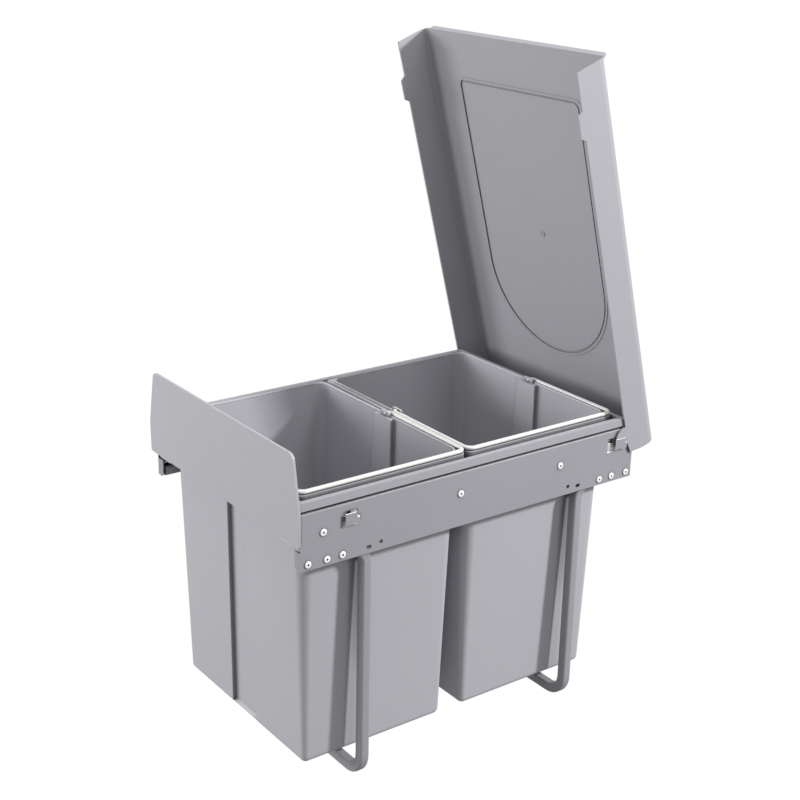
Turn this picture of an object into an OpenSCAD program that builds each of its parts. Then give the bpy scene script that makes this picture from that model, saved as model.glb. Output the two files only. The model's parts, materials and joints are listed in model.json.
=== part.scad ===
// Pull-out waste unit for a kitchen base cabinet.
// Two lift-out bins with folding bails hang in a carrier frame behind a front panel.
// The carrier runs on full-extension ball slides between two side plates, and the
// plates stand on two tubular hoops. A hinged tray lid covers the bins.
// Model axes while drawing: X across, Y back from the plates' front ends,
// Z up from the plates' lower edges. place() then moves all of it to the part's frame.

/* [Side plates] */
// Width over the outer faces of the two side plates
body_width = 330; // [320:1:345]
// Length of the side plates from front to back
plate_length = 492; // [484:1:510]
// Height of the side plates
plate_height = 68.4; // [67:0.1:70]
// Sheet thickness of the side plates
plate_gauge = 1.5; // [1.2:0.1:2]
// Outer radius of the bend along the plates' top edge
plate_bend = 2.4; // [2:0.1:3]
// Width of the flange bent inward along the plates' top edge
top_flange = 5; // [4:0.1:5.4]
// Width of the flanges bent inward at the plates' ends
end_flange_width = 11; // [8:0.5:13]
// Height of the bent end flanges
end_flange_height = 22; // [18:1:26]
// Height of the windows that the tabs are cut from
window_height = 18.3; // [17:0.1:19]
// Distance from the plates' top edge down to the windows
window_drop = 10.1; // [9.4:0.1:10.9]
// Length of the front windows
front_window_length = 20; // [18:0.5:24]
// Length of the rear windows
rear_window_length = 30; // [28:0.5:34]
// Height of the bent-out tabs at their bent roots
tab_root_height = 7.2; // [6:0.1:7.6]
// Full height of the bent-out tabs
tab_height = 13.5; // [12:0.1:14]

/* [Hoops] */
// Tube size of the hoops across the unit
hoop_tube_x = 13; // [11:0.5:13.5]
// Tube size of the hoops along the unit
hoop_tube_y = 12.6; // [11:0.1:13]
// Wall of the hoop tube
hoop_wall = 1.5; // [1:0.1:2]
// Corner radius of the tube's section
hoop_corner = 3; // [2.2:0.1:3.8]
// Distance of the front hoop's legs from the plates' front ends
front_leg_inset = 89.5; // [82:0.5:96]
// Distance of the rear hoop's legs from the plates' rear ends
rear_leg_inset = 84.5; // [82:0.5:96]
// Height of the hoop's fixing run over the plates' lower edge
run_height = 7.5; // [7:0.1:9]
// Centre-line radius of the bends under the plates
top_bend = 22; // [18:1:26]
// Centre-line radius of the bends at the floor
floor_bend = 26; // [18:1:32]
// Free height between the hoops' floor runs and the bins
floor_gap = 18; // [10:1:24]

/* [Slides] */
// Length of each slide member
slide_length = 470; // [455:1:474]
// Height of the outer slide member
slide_height = 45; // [43:0.5:46]
// Width of the closed slide
slide_width = 12.7; // [12.4:0.1:13.2]
// Sheet thickness of the slide members
slide_gauge = 1.2; // [1:0.05:1.3]
// Height of the slide's centre over the plates' lower edge
slide_level = 41; // [39:0.5:42]
// Radius of the slide balls
ball_radius = 1.95; // [1.8:0.05:2]
// Length of a ball cage
cage_length = 160; // [120:10:200]
// Balls in one row of a cage
cage_balls = 6; // [4:1:8]

/* [Fasteners] */
// Radius of the rivet heads
rivet_head = 4.3; // [3.8:0.1:4.6]
// Height of the rivet heads
rivet_head_height = 1.5; // [1:0.1:2]
// Radius of the rivet shanks
rivet_shank = 2.4; // [2:0.1:2.6]
// Radius of the screw shanks
screw_shank = 2; // [1.6:0.1:2.2]
// Radius of the screw heads
screw_head = 3.4; // [3:0.1:3.5]
// Width of the slots that fix the plates to the cabinet
fixing_slot_width = 4.4; // [3.6:0.1:5]
// Length of the fixing slots
fixing_slot_length = 7; // [6:0.1:9]
// Radius of the pilot holes beside the slots
pilot_radius = 2.4; // [1.6:0.1:2.6]

/* [Carrier] */
// Running gap between the side plates and the carrier over them
carrier_gap = 2.7; // [2.6:0.1:4]
// Height of the carrier frame
carrier_height = 9.6; // [9:0.2:12]
// Width of the carrier's top rim along the sides
carrier_rim = 7; // [6:0.2:8]
// Thickness of the ledge that the bins hang on
ledge_thickness = 1.6; // [1.5:0.1:2.4]
// Width of the carrier's front wall
front_wall = 7.5; // [6:0.5:9]
// Width of the carrier's rear wall
rear_wall = 6.5; // [6:0.5:8]
// Distance of the carrier's rear from the plates' rear ends
carrier_inset = 15.5; // [15:0.5:18]

/* [Front panel] */
// Greatest width of the front panel
panel_width = 340; // [339:1:350]
// Height of the front panel
panel_height = 105.5; // [96:0.5:112]
// Height of the panel's lower edge over the plates' lower edge
panel_level = 31.5; // [29:0.5:33]
// Thickness of the front panel
panel_thickness = 3; // [2.5:0.1:4]
// Gap between the side plates and the closed front panel
panel_gap = 3; // [2.6:0.1:4]
// Amount by which each side of the panel leans in at the top
panel_taper = 12; // [8:0.5:16]
// Corner radius at the top of the panel
panel_corner = 9; // [6:0.5:12]

/* [Bins] */
// Height of a bin from its floor to the top of its lip
bin_height = 352.5; // [340:0.5:360]
// Wall thickness of a bin
bin_wall = 2.2; // [1.8:0.1:2.6]
// Outward slope of the bin walls, in mm for each mm of height
bin_draft = 0.03; // [0.024:0.001:0.03]
// Radius of the bin's vertical corners at the floor
bin_corner = 6.5; // [6:0.5:6.5]
// Side clearance between bins and slides
bin_side_gap = 5.1; // [4.6:0.1:6]
// Width of the rim round a bin
rim_width = 5.2; // [4.8:0.1:5.4]
// Depth of the skirt below the rim's top
rim_depth = 10.3; // [10:0.1:12]
// Height of the lip over the rim
lip_height = 2.5; // [2:0.1:3]
// Gap between the rims of the two bins
rim_gap = 1.6; // [1.2:0.1:2]
// Depth of the finger channel in a bin's front and back
channel_depth = 5.5; // [4:0.5:7]
// Half width of the channel at the floor
channel_low = 28; // [24:1:32]
// Half width of the channel at the rim
channel_high = 15; // [12:1:18]
// Height of the channel's foot over the floor
channel_foot = 4.5; // [4.5:0.1:8]

/* [Bails] */
// Radius of the bail rod
bail_rod = 2.6; // [2.2:0.1:2.7]
// Centre-line radius of the bail's corners
bail_bend = 9; // [6:0.5:12]
// Radius of the bail's pins
bail_pin = 2; // [1.6:0.1:2.2]

/* [Lid] */
// Lean of the open lid from upright
lid_lean = 14.93; // [10:0.01:18]
// Depth of the lid over its open edge
lid_depth = 47.3; // [45:0.1:50]
// Wall thickness of the lid
lid_wall = 2.3; // [2:0.1:2.5]
// Gap between the closed lid's free end and the line of the plates' front ends
lid_front_gap = 1.5; // [1:0.1:3]
// Outer radius between the lid's roof and its sides
lid_side_round = 13.4; // [11:0.2:16]
// Inner radius between the lid's roof and its sides
lid_inner_round = 6; // [4:0.5:10]
// Outer radius between the lid's roof and its rear wall
lid_rear_round = 10; // [8:0.5:12]
// Distance from the hinge axis back to the lid's rear wall
lid_overhang = 25.4; // [25:0.1:28]
// Height by which the lip at the free end stands up
lid_lip = 6.1; // [4:0.1:8]
// Radius of the lid's hinge lobes
lobe_radius = 15.2; // [13:0.1:15.4]
// Radius of the lid's hinge pins
hinge_pin = 3; // [2.6:0.1:3.2]
// Half width of the framed field in the lid's roof
field_half = 111; // [100:1:118]
// Width of the groove round the field
groove_width = 3; // [2:0.1:5]
// Depth of the groove round the field
groove_depth = 1; // [0.8:0.1:1.4]
// Width of the bead outside the groove
bead_width = 2.6; // [2:0.1:4]
// Height of the bead
bead_height = 0.7; // [0.4:0.1:1]

/* [Hidden] */
$fn = 64;
// clearances by name
turn_fit = 0.05;
snug_fit = 0.05;
pass_gap = 0.3;
over = 1;
// side plates
half = body_width / 2;
x_plate = half - plate_gauge;
window_top = plate_height - window_drop;
window_bottom = window_top - window_height;
hinge_y = plate_length - carrier_inset;
hinge_z = plate_height - 13.9;
hinge_block = 5;
rear_root = hinge_y + 2.5;
root_top = hinge_z - hinge_pin - turn_fit - 1.25;
root_bottom = root_top - tab_root_height;
tab_stand = lid_wall + 2 * pass_gap + 0.2;
tab_length = 19;
tab_neck = 4.5;
slot_inset = 89.6;
slot_level = 7.6;
pilot_inset = 106;
pilot_level = 10;
// hoops
x_hoop = x_plate - hoop_tube_x / 2;
run_clear = 3;
rivet_places = [9, 33.5, 54];
slide_rivets_y = [28.8, 218, 371];
// slides
slide_setback = 2;
x_inner = x_plate - slide_width;
race_radius = ball_radius + turn_fit;
ball_u = 7.5;
race_gap = 2 * (ball_radius - 0.25);
mid_half = slide_height / 2 - slide_gauge - race_gap;
in_half = mid_half - slide_gauge - race_gap;
ball_z_out = slide_height / 2 - slide_gauge - race_gap / 2;
ball_z_in = mid_half - slide_gauge - race_gap / 2;
mid_u = 3.2;
in_u = mid_u + slide_gauge + 1;
race_reach = 10.9;
cage_sheet = 0.6;
// carrier
carrier_low = plate_height + carrier_gap;
carrier_top = carrier_low + carrier_height;
ledge_top = carrier_low + ledge_thickness;
carrier_front = -panel_gap;
carrier_back = plate_length - carrier_inset;
well_x = half - carrier_rim;
well_front = carrier_front + front_wall;
well_back = carrier_back - rear_wall;
carrier_skin = 1.7;
carrier_round = 2.5;
bracket_inset = 60;
bracket_y = [bracket_inset, slide_length - bracket_inset];
bracket_half = 18;
carrier_screw_x = x_inner + slide_gauge + screw_head + pass_gap;
panel_screw_x = x_inner - 12;
panel_screw_z = [slide_level - 5, slide_level + 7];
panel_tab = 24;
// front panel
panel_back = -panel_gap;
panel_front = panel_back - panel_thickness;
panel_bow = 0.4;
panel_widest = panel_level + 0.38 * panel_height;
panel_bite = panel_thickness - 1;
// bins
drop_gap = 1.5;
rim_half = (well_back - well_front - 3 * rim_gap) / 4;
bin_y = [well_front + rim_gap + rim_half, well_back - rim_gap - rim_half];
rim_top = ledge_top + rim_depth;
lip_top = rim_top + lip_height;
bin_floor = lip_top - bin_height;
rise = ledge_top - bin_floor;
wall_x = x_inner - bin_side_gap;
wall_y = rim_half - rim_width - bin_draft * (lip_top - ledge_top);
floor_x = wall_x - bin_draft * rise;
floor_y = wall_y - bin_draft * rise;
lip_x = floor_x + bin_draft * bin_height;
lip_y = floor_y + bin_draft * bin_height;
rim_x = lip_x + rim_width;
rim_sheet = 1.8;
rim_corner = 9;
lug_half = 9;
lug_depth = 4.2;
lug_height = 6.3;
lug_set = 1.3;
elbow_notch = 3.4;
bin_base = 2.6;
base_round = bin_corner * 0.48;
base_round_in = (bin_corner - bin_wall) * 0.48;
// bails
bail_z = rim_top + bail_rod + pass_gap;
bail_x = lip_x + bail_rod + 0.4;
bail_y = lip_y + bail_rod + 0.4;
bail_elbow = 4;
// hoop drop
hoop_low = bin_floor - floor_gap - hoop_tube_x;
z_floor_run = hoop_low + hoop_tube_x / 2;
// lid, in its own upright frame: Y out to the roof, Z up to the free end
lid_in = half + pass_gap + 0.2;
lid_out = lid_in + lid_wall;
lid_edge = 2.5;
roof = lid_edge + lid_depth;
roof_in = roof - lid_wall - 0.1;
lid_reach = hinge_y - lid_front_gap;
lid_tab_low = 396;
lid_tab_high = 421.5;
lid_tab_drop = hinge_z - root_top - pass_gap;
front_root = hinge_y - lid_tab_low - 5.7;
rear_low = 5;
rear_flat = 24;
notch = 11.5;
field_low = 165;
field_high = 414;
field_corner = 8;
gate_place = [8, 225];
gate_radius = 3.6;
// the part's frame
y_front = panel_front - panel_bow;
y_back = hinge_y + (roof - lid_rear_round) * cos(lid_lean)
    + (lid_overhang - lid_rear_round) * sin(lid_lean) + lid_rear_round;
y_mid = (y_front + y_back) / 2;
zinc = [0.80, 0.81, 0.83];
steel_grey = [0.60, 0.60, 0.62];
plastic_grey = [0.55, 0.55, 0.57];
dark_grey = [0.36, 0.36, 0.38];
cream = [0.93, 0.92, 0.88];

// from the drawing axes to the part's own frame
module place() {
    translate([0, -y_mid, -hoop_low]) children();
}

// the left side is the right side mirrored
module left() {
    mirror([1, 0, 0]) children();
}

// rectangle with true round corners
module round_rect(w, d, r) {
    square([w - 2 * r, d], center = true);
    square([w, d - 2 * r], center = true);
    for (sx = [-1, 1], sy = [-1, 1]) {
        translate([sx * (w / 2 - r), sy * (d / 2 - r)]) circle(r);
    }
}

// extrudes a Y-Z outline along X, from x to x + w
module along_x(x, w) {
    translate([x, 0, 0]) rotate([90, 0, 90]) linear_extrude(w) children();
}

// extrudes an X-Z outline toward the front, from y to y - d
module along_y(y, d) {
    translate([0, y, 0]) rotate([90, 0, 0]) linear_extrude(d) children();
}

// cylinder along X that starts at x
module rod_x(x, w, r) {
    translate([x, 0, 0]) rotate([0, 90, 0]) cylinder(h = w, r = r);
}

// Side plates

// outline of a bent tab seen from above, root at the origin, arm toward the front
module tab_plan() {
    inner = 0.6;
    bend = plate_gauge + inner;
    reach = tab_stand + plate_gauge;
    translate([0, -plate_gauge]) square([reach - bend, plate_gauge]);
    translate([tab_stand, -tab_length]) square([plate_gauge, tab_length - bend]);
    translate([reach - bend, -bend]) intersection() {
        difference() {
            circle(bend);
            circle(inner);
        }
        square([bend, bend]);
    }
}

// bent-out tab: a narrow root at the window's rear edge and a taller free arm
module lanced_tab(y_root) {
    translate([half, y_root, root_bottom]) {
        linear_extrude(tab_root_height) tab_plan();
        translate([tab_stand, -tab_length, 0]) {
            cube([plate_gauge, tab_length - tab_neck, tab_height]);
        }
    }
    translate([x_plate, y_root - plate_gauge, root_bottom]) {
        cube([plate_gauge + 0.5, plate_gauge + 0.5, tab_root_height]);
    }
}

module end_flange() {
    slant = 4;
    w = end_flange_width + plate_gauge;
    along_y(plate_gauge, plate_gauge) {
        polygon([
            [half, 0], [half - w + slant, 0], [half - w, slant],
            [half - w, end_flange_height], [half, end_flange_height]
        ]);
    }
}

module plate_sheet() {
    foot_round = 4;
    sheet = plate_height - plate_bend;
    along_x(x_plate, plate_gauge) {
        translate([plate_length / 2, sheet / 2]) {
            round_rect(plate_length, sheet, 1);
            translate([-plate_length / 2 + 1, -sheet / 2]) {
                square([foot_round, foot_round]);
            }
        }
        translate([0, sheet - foot_round]) square([plate_length, foot_round]);
    }
    // bend and flange along the top edge
    along_y(plate_length, plate_length) {
        translate([half - top_flange, plate_height - plate_gauge]) {
            square([top_flange - plate_bend, plate_gauge]);
        }
        translate([half - plate_bend, sheet]) intersection() {
            difference() {
                circle(plate_bend);
                circle(plate_bend - plate_gauge);
            }
            square([plate_bend, plate_bend]);
        }
    }
}

// hole for a rivet shank through a sheet of the given outer face
module rivet_hole(y, z) {
    translate([0, y, z]) rod_x(x_plate - over, plate_gauge + 2 * over, rivet_shank + snug_fit);
}

module fixing_slot(y) {
    r = fixing_slot_width / 2;
    run = fixing_slot_length / 2 - r;
    along_x(x_plate - over, plate_gauge + 2 * over) {
        translate([y - run, slot_level]) circle(r);
        translate([y + run, slot_level]) circle(r);
        translate([y - run, slot_level - r]) square([2 * run, 2 * r]);
    }
}

module windows() {
    along_x(x_plate - over, plate_gauge + 2 * over) {
        translate([front_root - front_window_length, window_bottom]) {
            square([front_window_length, window_height]);
        }
        translate([rear_root - rear_window_length, window_bottom]) {
            square([rear_window_length - (rear_root - hinge_y) - hinge_block, window_height]);
            square([rear_window_length, root_top - window_bottom]);
        }
    }
}

module side_plate() {
    difference() {
        union() {
            plate_sheet();
            end_flange();
            translate([0, plate_length, 0]) mirror([0, 1, 0]) end_flange();
        }
        windows();
        translate([0, hinge_y, hinge_z]) {
            rod_x(x_plate - over, plate_gauge + 2 * over, hinge_pin + turn_fit);
        }
        for (d = rivet_places, y = [d, plate_length - d]) rivet_hole(y, run_height);
        for (y = slide_rivets_y) rivet_hole(y, slide_level);
        for (y = [slot_inset, plate_length - slot_inset]) fixing_slot(y);
        for (y = [pilot_inset, plate_length - pilot_inset]) {
            translate([0, y, pilot_level]) {
                rod_x(x_plate - over, plate_gauge + 2 * over, pilot_radius);
            }
        }
    }
    lanced_tab(front_root);
    lanced_tab(rear_root);
}

module side_plate_right() {
    color(steel_grey) place() side_plate();
}

module side_plate_left() {
    color(steel_grey) place() left() side_plate();
}

// Hoops

// hollow tube section, w along the first axis
module tube_section(w, d) {
    difference() {
        round_rect(w, d, hoop_corner);
        round_rect(w - 2 * hoop_wall, d - 2 * hoop_wall, hoop_corner - hoop_wall);
    }
}

// one side of a hoop: fixing run, bend, leg and floor bend
module hoop_side(inset) {
    run = inset - top_bend - run_clear;
    leg = run_height - top_bend - z_floor_run - floor_bend;
    translate([x_hoop, run_clear, run_height]) {
        rotate([-90, 0, 0]) linear_extrude(run) tube_section(hoop_tube_x, hoop_tube_y);
    }
    translate([x_hoop, inset - top_bend, run_height - top_bend]) rotate([90, 0, 90]) {
        rotate_extrude(angle = 90) translate([top_bend, 0]) tube_section(hoop_tube_y, hoop_tube_x);
    }
    translate([x_hoop, inset, z_floor_run + floor_bend]) {
        linear_extrude(leg) tube_section(hoop_tube_x, hoop_tube_y);
    }
    translate([x_hoop - floor_bend, inset, z_floor_run + floor_bend]) {
        rotate([90, 0, 0]) rotate([0, 0, -90]) rotate_extrude(angle = 90) {
            translate([floor_bend, 0]) tube_section(hoop_tube_x, hoop_tube_y);
        }
    }
}

module hoop(inset) {
    span = 2 * (x_hoop - floor_bend);
    difference() {
        union() {
            hoop_side(inset);
            left() hoop_side(inset);
            translate([-span / 2, inset, z_floor_run]) {
                rotate([0, 90, 0]) linear_extrude(span) tube_section(hoop_tube_x, hoop_tube_y);
            }
        }
        for (s = [0, 1], d = rivet_places) mirror([s, 0, 0]) {
            translate([0, d, run_height]) {
                rod_x(x_plate - 2 * hoop_wall, 4 * hoop_wall, rivet_shank + snug_fit);
            }
        }
    }
}

module hoop_front() {
    color(steel_grey) place() hoop(front_leg_inset);
}

module hoop_rear() {
    color(steel_grey) place() translate([0, plate_length, 0]) mirror([0, 1, 0]) hoop(rear_leg_inset);
}

// Rivets

// blind rivet along X: domed head outside, shank inward to depth
module rivet(depth) {
    eye = 1.1;
    rim = 0.5;
    difference() {
        union() {
            rod_x(half, rim, rivet_head);
            translate([half + rim, 0, 0]) rotate([0, 90, 0]) {
                cylinder(h = rivet_head_height - rim, r1 = rivet_head, r2 = rivet_head - 1.4);
            }
            rod_x(half - depth, depth, rivet_shank);
        }
        rod_x(half + 0.3, rivet_head_height, eye);
    }
}

module hoop_rivets() {
    color(zinc) place() {
        for (s = [0, 1], d = rivet_places, y = [d, plate_length - d]) mirror([s, 0, 0]) {
            translate([0, y, run_height]) rivet(plate_gauge + hoop_wall);
        }
    }
}

module slide_rivets() {
    color(zinc) place() {
        for (s = [0, 1], y = slide_rivets_y) mirror([s, 0, 0]) {
            translate([0, y, slide_level]) rivet(plate_gauge + slide_gauge);
        }
    }
}

// Ball slides, drawn in a section frame: u inward from the plate, v up from the middle

// channel open toward larger u
module channel_section(u, reach, top) {
    translate([u, -top]) square([slide_gauge, 2 * top]);
    for (v = [top - slide_gauge, -top]) translate([u, v]) square([reach - u, slide_gauge]);
}

// race grooves of both ball rows at height v
module races(v) {
    for (s = [-1, 1]) translate([ball_u, s * v]) circle(race_radius);
}

// extrudes a u-v section along Y on the right side
module slide_run(y, length) {
    translate([x_plate, y, slide_level]) rotate([-90, 0, 0]) mirror([1, 0, 0]) mirror([0, 1, 0]) {
        linear_extrude(length) children();
    }
}

// opening in the outer member's web behind a plate window
module web_window(y) {
    translate([x_plate - slide_gauge - over, y, hinge_z - 3]) {
        cube([slide_gauge + 2 * over, 9, 8.5]);
    }
}

module slide_outer() {
    difference() {
        slide_run(slide_setback, slide_length) difference() {
            channel_section(0, race_reach, slide_height / 2);
            races(ball_z_out);
        }
        for (y = slide_rivets_y) {
            translate([0, y, slide_level]) {
                rod_x(x_plate - slide_gauge - over, slide_gauge + 2 * over, rivet_shank + snug_fit);
            }
        }
        web_window(front_root - front_window_length + 1.5);
        web_window(rear_root - rear_window_length + 1.5);
    }
}

module slide_middle() {
    slide_run(slide_setback, slide_length) difference() {
        channel_section(mid_u, race_reach + 0.1, mid_half);
        races(ball_z_out);
        races(ball_z_in);
    }
}

// tab that rises from the inner member and turns out under the carrier's ledge
module carrier_bracket(y) {
    z_web = slide_level + in_half - 2 * slide_gauge;
    reach = carrier_screw_x + screw_head + 1 - x_inner;
    translate([x_inner, y - bracket_half, z_web]) {
        cube([slide_gauge, 2 * bracket_half, carrier_low - z_web]);
    }
    difference() {
        translate([x_inner, y - bracket_half, carrier_low - slide_gauge]) {
            cube([reach, 2 * bracket_half, slide_gauge]);
        }
        translate([carrier_screw_x, y, carrier_low - slide_gauge - over]) {
            cylinder(h = slide_gauge + 2 * over, r = screw_shank + snug_fit);
        }
    }
}

// end of the inner member, bent in behind the front panel
module panel_bracket() {
    low = slide_level - in_half;
    translate([x_inner, panel_back, low]) {
        cube([slide_gauge, slide_setback - panel_back + over, 2 * in_half]);
    }
    difference() {
        translate([x_inner - panel_tab, panel_back, low]) {
            cube([panel_tab + slide_gauge, plate_gauge, 2 * in_half]);
        }
        for (z = panel_screw_z) translate([panel_screw_x, 0, z]) {
            rotate([90, 0, 0]) cylinder(h = 3 * panel_gap, r = screw_shank + snug_fit, center = true);
        }
    }
}

module slide_inner() {
    slide_run(slide_setback, slide_length) difference() {
        union() {
            translate([slide_width - slide_gauge, -in_half]) square([slide_gauge, 2 * in_half]);
            for (v = [in_half - slide_gauge, -in_half]) {
                translate([in_u, v]) square([slide_width - in_u, slide_gauge]);
            }
        }
        races(ball_z_in);
    }
    for (y = bracket_y) carrier_bracket(y);
    panel_bracket();
}

// ball cage: a channel strip with a row of balls along each edge
module ball_cage(u_web, v_row) {
    first = slide_setback + slide_length / 2 - cage_length / 2;
    pitch = cage_length / cage_balls;
    pocket = ball_radius + 0.12;
    half_sheet = cage_sheet / 2;
    difference() {
        slide_run(first, cage_length) {
            translate([u_web, -v_row - half_sheet]) square([cage_sheet, 2 * v_row + cage_sheet]);
            for (s = [-1, 1]) translate([u_web, s * v_row - half_sheet]) {
                square([race_reach - 1 - u_web, cage_sheet]);
            }
        }
        for (s = [-1, 1], i = [0 : cage_balls - 1]) {
            translate([x_plate - ball_u, first + (i + 0.5) * pitch, slide_level + s * v_row]) {
                cylinder(h = 3 * cage_sheet, r = pocket, center = true);
            }
        }
    }
    for (s = [-1, 1], i = [0 : cage_balls - 1]) {
        translate([x_plate - ball_u, first + (i + 0.5) * pitch, slide_level + s * v_row]) {
            sphere(r = ball_radius, $fn = 24);
        }
    }
}

module cage_outer() {
    ball_cage(slide_gauge + (mid_u - slide_gauge - cage_sheet) / 2, ball_z_out);
}

module cage_inner() {
    ball_cage(mid_u + slide_gauge + 0.2, ball_z_in);
}

module slide_outer_right() {
    color(zinc) place() slide_outer();
}

module slide_outer_left() {
    color(zinc) place() left() slide_outer();
}

module slide_middle_right() {
    color(zinc) place() slide_middle();
}

module slide_middle_left() {
    color(zinc) place() left() slide_middle();
}

module slide_inner_right() {
    color(zinc) place() slide_inner();
}

module slide_inner_left() {
    color(zinc) place() left() slide_inner();
}

module cage_outer_right() {
    color(zinc) place() cage_outer();
}

module cage_outer_left() {
    color(zinc) place() left() cage_outer();
}

module cage_inner_right() {
    color(zinc) place() cage_inner();
}

module cage_inner_left() {
    color(zinc) place() left() cage_inner();
}

// Carrier frame

// plan rectangle from y0 to y1, w either side of the middle
module plan(w, y0, y1, r) {
    translate([0, (y0 + y1) / 2]) round_rect(2 * w, y1 - y0, r);
}

module carrier_body() {
    skin = carrier_skin;
    difference() {
        translate([0, 0, carrier_low]) linear_extrude(carrier_height) {
            plan(half, carrier_front, carrier_back, carrier_round);
        }
        // well that the rims sit in
        translate([0, 0, ledge_top]) linear_extrude(carrier_height) {
            plan(well_x, well_front, well_back, 3);
        }
        // one opening for each bin
        for (y = bin_y) translate([0, 0, carrier_low - over]) linear_extrude(carrier_height) {
            translate([0, y]) round_rect(2 * (wall_x + drop_gap), 2 * (wall_y + drop_gap), bin_corner);
        }
        // hollow under the side rims
        for (s = [-1, 1]) {
            translate([s * (half - carrier_rim / 2), (carrier_front + carrier_back) / 2, carrier_low]) {
                cube([
                    carrier_rim - 2 * skin,
                    carrier_back - carrier_front - 4 * skin,
                    2 * (carrier_height - skin)
                ], center = true);
            }
        }
        for (s = [-1, 1], y = bracket_y) translate([s * carrier_screw_x, y, carrier_low - over]) {
            cylinder(h = ledge_thickness + 2 * over, r = screw_shank + snug_fit);
        }
    }
}

module carrier_frame() {
    color(plastic_grey) place() carrier_body();
}

module carrier_screws() {
    head = 2;
    color(zinc) place() {
        for (s = [-1, 1], y = bracket_y) translate([s * carrier_screw_x, y, 0]) {
            translate([0, 0, carrier_low - slide_gauge - head]) cylinder(h = head, r = screw_head);
            translate([0, 0, carrier_low - slide_gauge]) {
                cylinder(h = slide_gauge + ledge_thickness, r = screw_shank);
            }
        }
    }
}

// Front panel

module panel_outline() {
    top = panel_level + panel_height;
    w = panel_width / 2;
    r = panel_corner;
    lean = atan(panel_taper / (top - panel_widest));
    // centre of the arc that meets the leaning side and the top edge
    x_arc = w - panel_taper - r * (1 - sin(lean)) / cos(lean);
    polygon([
        [-w + 1.5, panel_level], [w - 1.5, panel_level], [w, panel_level + 2], [w, panel_widest],
        [x_arc + r * cos(lean), top - r + r * sin(lean)], [x_arc, top],
        [-x_arc, top], [-x_arc - r * cos(lean), top - r + r * sin(lean)],
        [-w, panel_widest], [-w, panel_level + 2]
    ]);
    for (s = [-1, 1]) translate([s * x_arc, top - r]) circle(r);
}

module panel_body() {
    top = panel_level + panel_height;
    difference() {
        intersection() {
            along_y(panel_back, 3 * panel_thickness) panel_outline();
            along_x(-panel_width, 2 * panel_width) polygon([
                [panel_back, panel_level - over], [panel_back, top + over],
                [panel_front, top + over], [panel_front - panel_bow, panel_widest],
                [panel_front, panel_level - over]
            ]);
        }
        for (s = [-1, 1], z = panel_screw_z) translate([s * panel_screw_x, panel_back + over, z]) {
            rotate([90, 0, 0]) cylinder(h = panel_bite + over, r = screw_shank + snug_fit);
        }
    }
}

module front_panel() {
    color(steel_grey) place() panel_body();
}

module panel_screws() {
    head = 1.8;
    seat = panel_back + plate_gauge;
    color(zinc) place() {
        for (s = [-1, 1], z = panel_screw_z) translate([s * panel_screw_x, seat, z]) {
            rotate([-90, 0, 0]) cylinder(h = head, r = screw_head);
            rotate([90, 0, 0]) cylinder(h = plate_gauge + panel_bite - 0.2, r = screw_shank);
        }
    }
}

// Bins

// half outline of a tub wall, with a round at the foot
module wall_profile(reach, r_foot, r_round, height) {
    slope = atan(bin_draft);
    // the arc touches the floor and the sloping wall
    x_arc = r_foot - r_round * (1 - sin(slope)) / cos(slope);
    polygon([
        [-reach, 0], [x_arc, 0],
        [x_arc + r_round * cos(slope), r_round * (1 - sin(slope))],
        [r_foot + bin_draft * height, height], [-reach, height]
    ]);
    translate([x_arc, r_round]) circle(r_round);
}

// tapered tub with true cones at its corners, floor at z = 0
module tub(fx, fy, r_foot, r_round, height) {
    ax = fx - r_foot;
    ay = fy - r_foot;
    for (s = [0, 1]) {
        mirror([s, 0, 0]) translate([0, ay, 0]) rotate([90, 0, 0]) linear_extrude(2 * ay) {
            translate([ax, 0]) wall_profile(ax, r_foot, r_round, height);
        }
        mirror([0, s, 0]) rotate([90, 0, 90]) translate([0, 0, -ax]) linear_extrude(2 * ax) {
            translate([ay, 0]) wall_profile(ay, r_foot, r_round, height);
        }
    }
    for (sx = [-1, 1], sy = [-1, 1]) translate([sx * ax, sy * ay, 0]) rotate_extrude() {
        intersection() {
            wall_profile(0, r_foot, r_round, height);
            square([2 * r_foot + height, 2 * height]);
        }
    }
}

// prism of the finger channel: it stands on a face that slopes with the wall
module channel(y_face, low, high, foot, height, depth_out) {
    translate([0, y_face, 0]) rotate([-atan(bin_draft), 0, 0]) rotate([-90, 0, 0]) {
        linear_extrude(depth_out) polygon([
            [-low, -foot], [low, -foot], [high, -height], [-high, -height]
        ]);
    }
}

// all channels of a tub, front and back
module channels(y_face, low, high, foot, height, depth_out) {
    for (s = [0, 1]) mirror([0, s, 0]) channel(y_face, low, high, foot, height, depth_out);
}

module bin_shell() {
    w = bin_wall;
    top = rim_top - bin_floor;
    channel_top = top - rim_sheet;
    difference() {
        tub(floor_x, floor_y, bin_corner, base_round, bin_height);
        channels(
            floor_y - channel_depth, channel_low, channel_high, channel_foot,
            channel_top, 3 * channel_depth
        );
        difference() {
            translate([0, 0, bin_base]) {
                rise_in = bin_draft * bin_base;
                tub(floor_x - w + rise_in, floor_y - w + rise_in, bin_corner - w, base_round_in, bin_height);
            }
            channels(
                floor_y - channel_depth - w, channel_low + w, channel_high + w,
                -over, channel_top + w, 3 * channel_depth
            );
        }
    }
}

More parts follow.
